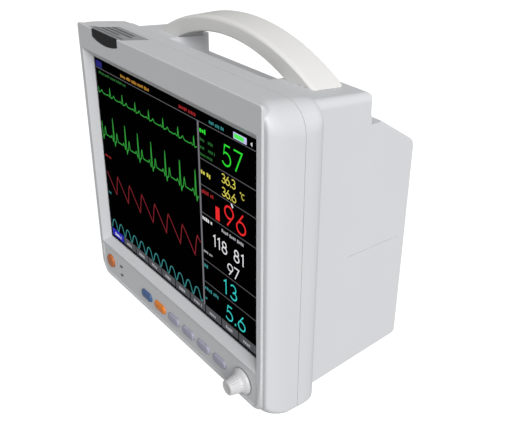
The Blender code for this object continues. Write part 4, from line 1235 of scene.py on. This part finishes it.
def picture_cells():
    """Right column with the readings."""
    block("divider", DIVIDER_X - 1.1, TAB_TOP - 0.4, DIVIDER_X + 1.1, TITLE_Z)
    for z in CELL_LINES:
        block("line", DIVIDER_X + 1.2, z - 0.3, SCREEN_RIGHT, z + 0.3)
    left = DIVIDER_X + 2.0
    greeked("green", left, 58.4, 222.2, 4.0, 3)
    for z in (215.4, 208.8):
        greeked("dim_green", left, 58.0, z, 2.9, 3)
        greeked("dim_green", 61.2, 70.0, z, 2.9, 3)
    greeked("dim_green", left, 67.5, 203.0, 2.7, 4)
    number("green", "57", 80.2, 206.0, 17.6, 0.075)
    greeked("yellow", left, 64.4, 186.9, 4.2, 2)
    number("yellow", "36.3", 78.8, 190.8, 8.0, 0.12, 0.06)
    number("yellow", "36.6", 78.8, 179.6, 8.0, 0.12, 0.06)
    ribbon("yellow", bow((103.0, 191.2), (0.6, 0.6), 0, 359, 10), 0.5)
    ribbon("yellow", bow((106.2, 188.9), (1.9, 2.2), 50, 310, 14), 0.7)
    greeked("dim_red", left, 66.4, 170.4, 4.0, 4)
    block("red", 69.2, 154.9, 74.6, 166.6)
    number("red", "96", 81.6, 155.6, 18.6, 0.085)
    ribbon("white", [(90.6, 177.4), (92.9, 174.6)], 1.7)
    greeked("white", left, 64.6, 146.6, 3.6, 4)
    greeked("pale", 77.0, 109.0, 146.6, 3.2, 4)
    number("white", "118", 64.6, 128.0, 11.6, 0.105, 0.23)
    number("white", "81", 93.4, 128.0, 11.6, 0.105, 0.23)
    number("white", "97", 84.4, 111.6, 11.2, 0.095, 0.12)
    greeked("pale", left, 62.6, 116.2, 2.6, 4)
    greeked("dim_cyan", left, 58.6, 101.4, 4.0, 2)
    number("cyan", "13", 78.2, 90.0, 14.8, 0.085, 0.34)
    greeked("dim_cyan", left, 71.4, 78.8, 3.8, 4)
    greeked("dim_cyan", left, 54.0, 69.0, 2.4, 2)
    number("cyan", "5.6", 80.8, 66.0, 15.2, 0.085, 0.14)


def picture_tabs():
    """Row of soft keys along the bottom."""
    count = 10
    pitch = SCREEN_W / count
    for index in range(count):
        x = SCREEN_LEFT + pitch * index
        tint = "tab" if index else "tab_blue"
        block(tint, x + 0.7, SCREEN_LOW + 0.5, x + pitch - 0.7, TAB_TOP)
        mark = "pale" if index else "white"
        greeked(mark, x + 6.5, x + pitch - 6.0, 56.0, 3.4, 4, 0.06)


def screen():
    """Glass, with the picture as thin lit shapes on it."""
    low, high = corners_mm("lcd_glass")
    glass = to_object("screen_glass", box(low, high, 0.25))
    finish_piece(glass, GLASS, ("lcd_glass",))
    picture_title()
    picture_traces()
    picture_cells()
    picture_tabs()
    for tint, shapes in picture.items():
        name = "picture_" + tint
        shown = to_object(name, merged(*shapes))
        finish_piece(shown, glowing(name, linear(TINTS[tint])))


# ------------------------------------------------------- interfaces and fixings

# Sockets on the left side: name, bore radius, rings of contacts (radius, count), key tab.
SIDE_SOCKETS = (
    ("ecg_socket", 7.6, ((0.0, 1), (3.9, 6)), True),
    ("spo2_socket", 5.6, ((0.0, 1), (2.9, 6)), True),
    ("cuff_hose_fitting", 2.6, (), False),
    ("temperature_socket_1", 1.9, (), False),
    ("temperature_socket_2", 1.9, (), False),
    ("gas_sample_socket", 4.6, (), False),
)
SOCKET_FINISH = {
    "ecg_socket": (GREEN_SOCKET, "green_socket"),
    "spo2_socket": (BLUE_SOCKET, "blue_socket"),
    "cuff_hose_fitting": (STEEL, "steel"),
}
SOCKET_DEPTH = 12.0
SOCKET_WALL = 1.8
SOCKET_BOTTOM = 2.0
PIN_R = 0.75

# Ports on the rear plate: name, wall, depth.
REAR_PORTS = (
    ("mains_inlet", 2.0, 17.0),
    ("network_port", 1.6, 12.0),
    ("video_port", 1.4, 7.0),
)


def side_panel():
    """Plate with the patient sockets, and the contacts in them."""
    low, high = corners_mm("side_socket_panel")
    outer = low.x
    outline = rectangle((low.y, high.y), (low.z, high.z), SIDE_PLATE_R, 8)
    panel = to_object("side_plate", prism(outline, outer, high.x, "X", 0.6, 0.0))
    holes = []
    for name, bore_r, _, _ in SIDE_SOCKETS:
        y, z = node_centre(name, "y")
        holes.append(cylinder((y, z), bore_r + SOCKET_WALL + GAP, outer - PAST, outer + PAST, "X"))
    carve(panel, *holes)
    finish_piece(panel, TRIM, ("side_socket_panel",))

    for name, bore_r, contacts, tab in SIDE_SOCKETS:
        low, high = corners_mm(name)
        y, z = node_centre(name, "y")
        flange_r = (high.y - low.y) / 2
        height = outer - low.x
        floor = height - SOCKET_DEPTH
        material, slot = SOCKET_FINISH.get(name, (TRIM, "grey_trim"))
        profile = [
            (0.0, floor), (bore_r, floor), (bore_r, height - 0.7), (bore_r + 0.6, height - 0.1),
            (bore_r + 1.0, height), (flange_r - 1.3, height), (flange_r - 0.5, height - 0.25),
            (flange_r - 0.1, height - 0.7), (flange_r, height - 1.2), (flange_r, GAP),
            (bore_r + SOCKET_WALL, GAP), (bore_r + SOCKET_WALL, floor - SOCKET_BOTTOM),
            (0.0, floor - SOCKET_BOTTOM),
        ]
        if name == "cuff_hose_fitting":
            # A spigot for the hose stands on a low flange.
            profile[4:9] = [(bore_r + 0.9, height), (4.1, height), (4.6, height - 0.5),
                            (4.6, 2.6), (flange_r - 0.8, 2.6), (flange_r - 0.2, 2.3),
                            (flange_r, 1.8)]
        socket = to_object(name + "_shell", turned(profile, (outer, y, z), TO_LEFT))
        if tab:
            key = box((low.x + 1.2, y - 1.1, z + bore_r - 1.9),
                      (outer - floor - 0.5, y + 1.1, z + bore_r + 0.4))
            combine(socket, "UNION", to_object("key", key))
        finish_piece(socket, material, (name,), 42.0)
        pins = []
        for ring_r, count in contacts:
            for index in range(count):
                angle = 2.0 * math.pi * index / count
                place = (y + ring_r * math.cos(angle), z + ring_r * math.sin(angle))
                pins.append(cylinder(place, PIN_R, outer - height + 3.0, outer - floor - GAP / 3,
                                     "X", 0.25, 20))
        if pins:
            pin_set = to_object(name + "_pins", merged(*pins))
            finish_piece(pin_set, GOLD)


def rear_panel():
    """Plate with the ports and the earth post, and the contacts in the ports."""
    low, high = corners_mm("rear_socket_plate")
    outer = high.y
    outline = rectangle((low.x, high.x), (low.z, high.z), PLATE_R, 8)
    plate = to_object("rear_plate", prism(outline, low.y, outer, "Y", 0.0, 0.5))
    earth_low, earth_high = corners_mm("earth_post")
    earth = node_centre("earth_post")
    post_r = (earth_high.x - earth_low.x) / 2
    holes = [cylinder(earth, post_r + GAP, outer - PAST, outer + PAST, steps=40)]
    holes += [opening(port[0], GAP, outer - PAST, outer + PAST) for port in REAR_PORTS]
    carve(plate, *holes)
    finish_piece(plate, TRIM, ("rear_socket_plate",))

    for name, wall, depth in REAR_PORTS:
        port_low, port_high = corners_mm(name)
        shell = rectangle((port_low.x, port_high.x), (port_low.z, port_high.z), 1.2, 5)
        port = to_object(name + "_shell", prism(shell, port_low.y, port_high.y, "Y", 0.0, 0.35))
        ranges = ((port_low.x + wall, port_high.x - wall), (port_low.z + wall, port_high.z - wall))
        mouth = prism(mouth_outline(name, ranges), outer - depth, outer + PAST, "Y")
        carve(port, mouth)
        material, slot = (BLACK, "black_plastic") if name == "mains_inlet" else (STEEL, "steel")
        finish_piece(port, material, (name,))
    port_contacts(outer)

    profile = [
        (0.0, 0.7), (0.9, 0.7), (1.1, 0.45), (1.4, 0.45), (1.6, 0.7), (post_r - 0.6, 0.7),
        (post_r - 0.15, 0.5), (post_r, 0.1), (post_r, -8.0), (0.0, -8.0),
    ]
    post = turned(profile, (earth[0], outer, earth[1]), TO_REAR)
    finish_piece(to_object("earth_stud", post), BRASS, ("earth_post",))


def mouth_outline(name, ranges):
    """Opening of a port: keyed for mains, tapered for video and plain for the network."""
    (x0, x1), (z0, z1) = ranges
    if name == "mains_inlet":
        cut = 3.4
        corners = [(x0, z0), (x1, z0), (x1, z1 - cut), (x1 - cut, z1), (x0 + cut, z1),
                   (x0, z1 - cut)]
        return fillet(corners, [1.0, 1.0, 0.8, 0.8, 0.8, 0.8], 4)
    if name == "video_port":
        lean = 1.4
        corners = [(x0 + lean, z0), (x1 - lean, z0), (x1, z1), (x0, z1)]
        return fillet(corners, [1.4] * 4, 5)
    return rectangle((x0, x1), (z0, z1), 0.5, 3)


def port_contacts(outer):
    """Blades of the mains inlet, springs of the network port and pins of the video port."""
    x, z = node_centre("mains_inlet")
    blades = []
    for dx, dz in ((-7.0, -1.9), (7.0, -1.9), (0.0, 2.1)):
        blades.append(box((x + dx - 1.0, outer - 16.9, z + dz - 2.0),
                          (x + dx + 1.0, outer - 4.0, z + dz + 2.0), 0.3))
    finish_piece(to_object("mains_blades", merged(*blades)), STEEL)

    x, z = node_centre("network_port")
    springs = []
    for index in range(8):
        place = x + 1.02 * (index - 3.5)
        springs.append(box((place - 0.22, outer - 11.5, z + 2.2), (place + 0.22, outer - 1.5, z + 2.7)))
    finish_piece(to_object("network_contacts", merged(*springs)), GOLD)
    insert_x, insert_z = 5.4, 4.0
    insert = box((x - insert_x, outer - 11.9, z - insert_z), (x + insert_x, outer - 11.6, z + 3.6))
    finish_piece(to_object("network_insert", insert), BLACK)

    x, z = node_centre("video_port")
    pins = []
    for row in range(3):
        for index in range(5):
            place = (x + 2.3 * (index - 2) - 1.1 * (row - 1), z + 2.2 * (1 - row))
            pins.append(cylinder(place, 0.45, outer - 6.9, outer - 2.4, "Y", 0.15, 16))
    finish_piece(to_object("video_contacts", merged(*pins)), GOLD)


def screw(name, seat_y):
    """Pan head screw with a cross recess."""
    low, high = corners_mm(name)
    x, z = node_centre(name)
    head_r = (high.x - low.x) / 2
    rise = high.y - seat_y
    profile = [(0.0, rise)]
    for step in range(7):
        angle = math.pi / 2 * step / 6
        profile.append((head_r - 1.5 + 1.5 * math.sin(angle), rise - 0.75 * (1.0 - math.cos(angle))))
    profile += [(head_r, 0.0), (1.5, 0.0), (1.5, low.y - seat_y), (0.0, low.y - seat_y)]
    head = to_object(name + "_head", turned(profile, (x, seat_y, z), TO_REAR, 48))
    wing, half = 1.75, 0.36
    cross = [(wing, -half), (wing, half), (half, half), (half, wing), (-half, wing), (-half, half),
             (-wing, half), (-wing, -half), (-half, -half), (-half, -wing), (half, -wing),
             (half, -half)]
    outline = [(x + px, z + pz) for px, pz in cross]
    carve(head, prism(outline, seat_y + 0.05, high.y + 1.0, "Y"))
    finish_piece(head, STEEL, (name,), 40.0)


def battery_door():
    """Flat door with its screw holes and a row of finger grooves, and the screws."""
    low, high = corners_mm("battery_door")
    outline = rectangle((low.x, high.x), (low.z, high.z), PLATE_R, 8)
    door = to_object("battery_cover", prism(outline, low.y, high.y, "Y", 0.0, 0.6))
    screws = ("battery_door_screw_1", "battery_door_screw_2")
    places = [node_centre(name) for name in screws]
    carve(door, *[
        cylinder(place, SCREW_HOLE_R, low.y - PAST, high.y + PAST, steps=32) for place in places])
    carve(door, *[
        cylinder(place, SCREW_HEAD_R + 0.6, high.y - 1.2, high.y + PAST, steps=48)
        for place in places])
    middle = (low.x + high.x) / 2
    ribs = []
    for row in range(FINGER_RIBS):
        z = low.z + 9.0 + FINGER_RIB_PITCH * row
        rib = rectangle((middle - FINGER_RIB_HALF, middle + FINGER_RIB_HALF), (z, z + 1.6), 0.75, 5)
        ribs.append(prism(rib, high.y - 0.7, high.y + PAST, "Y"))
    carve(door, *ribs)
    finish_piece(door, CASE, ("battery_door",))
    for name in screws:
        screw(name, REAR_Y - 1.3)
    for index in range(len(HOUSING_SCREWS)):
        screw("housing_screw_" + str(index + 1), REAR_Y - 1.1)


def feet():
    """Rubber feet with a soft lower rim and a shallow dimple."""
    for label in ("front_left", "front_right", "rear_left", "rear_right"):
        low, high = corners_mm("foot_" + label)
        centre = ((low.x + high.x) / 2, (low.y + high.y) / 2)
        radius = (high.x - low.x) / 2
        height = high.z
        profile = [(0.0, 0.5), (3.2, 0.5), (3.7, 0.0), (radius - 1.2, 0.0),
                   (radius - 0.5, 0.15), (radius - 0.1, 0.5), (radius, 0.9),
                   (radius - 0.05, 1.4), (radius - 1.0, height), (0.0, height)]
        foot = to_object("pad_" + label, turned(profile, (*centre, 0.0), Matrix.Identity(4)))
        finish_piece(foot, RUBBER, ("foot_" + label,))


front_bezel()
rear_housing()
carry_handle()
controls()
knob()
alarm_lens()
top_label()
screen()
side_panel()
rear_panel()
battery_door()
feet()


# ------------------------------------------------------- stage, lights and camera

CAMERA_PLACE = (0.5085, -0.3531, 0.4400)
CAMERA_AZIMUTH = 53.23
CAMERA_HEIGHT = 27.99
CAMERA_LENS = 53.65
KEY_DIRECTION = (0.80, -0.276, 0.533)
KEY_ENERGY = 3.42
KEY_SPREAD = 40.0
FILL = 0.38


def backdrop(name, colour, light):
    """Matt near-white paper that keeps a faint contact shadow."""
    material, tree, shader = new_material(name)
    mottled = add_node(tree, "TexNoise", "Fac", {"Scale": 3.0})
    feed(tree, shader, {
        "Roughness": 0.9, "Specular IOR Level": 0.0, "Emission Strength": light,
        "Emission Color": (1.0, 1.0, 1.0, 1.0),
        "Base Color": mix(tree, mottled, [colour] * 3, [colour * 1.02] * 3)})
    return material


def paper(name, points, faces, material):
    """Sheet of the studio that neither lights the object nor shows in its gloss."""
    mesh = bpy.data.meshes.new(name)
    mesh.from_pydata(points, [], faces)
    mesh.materials.append(material)
    obj = bpy.data.objects.new(name, mesh)
    scene.collection.objects.link(obj)
    obj.visible_diffuse = False
    obj.visible_glossy = False
    return obj


def studio():
    """Floor, and a wall far behind it on all sides that casts no shadow."""
    material = backdrop("studio_paper", 0.2, 0.93)
    half, high, low = 6.0, 4.0, -0.0004
    corners = ((-half, -half), (half, -half), (half, half), (-half, half))
    ground = [(x, y, low) for x, y in corners]
    paper("studio_floor", ground, [(0, 1, 2, 3)], material)
    ring = ground + [(x, y, high) for x, y in corners]
    sides = [(side, (side + 1) % 4, (side + 1) % 4 + 4, side + 4) for side in range(4)]
    paper("studio_wall", ring, sides, material).visible_shadow = False


def sun(name, towards, energy, spread):
    """Soft distant light from a direction, with its spread in degrees."""
    data = bpy.data.lights.new(name, "SUN")
    data.energy = energy
    data.angle = math.radians(spread)
    obj = bpy.data.objects.new(name, data)
    obj.rotation_euler = Vector(towards).to_track_quat("Z", "Y").to_euler()
    scene.collection.objects.link(obj)


def camera():
    """Long view from the right, a little above the monitor."""
    azimuth = math.radians(CAMERA_AZIMUTH)
    height = math.radians(CAMERA_HEIGHT)
    back = Vector((math.sin(azimuth) * math.cos(height), -math.cos(azimuth) * math.cos(height),
                   math.sin(height)))
    data = bpy.data.cameras.new("camera")
    data.lens = CAMERA_LENS
    data.sensor_width = 36.0
    obj = bpy.data.objects.new("camera", data)
    obj.location = CAMERA_PLACE
    obj.rotation_mode = "QUATERNION"
    obj.rotation_quaternion = back.to_track_quat("Z", "Y")
    scene.collection.objects.link(obj)
    scene.camera = obj


studio()
sun("key_light", KEY_DIRECTION, KEY_ENERGY, KEY_SPREAD)
camera()

world = bpy.data.worlds.new("studio")
world.use_nodes = True
world.node_tree.nodes["Background"].inputs["Color"].default_value = (1.0, 1.0, 1.0, 1.0)
world.node_tree.nodes["Background"].inputs["Strength"].default_value = FILL
scene.world = world
scene.view_settings.view_transform = "Standard"
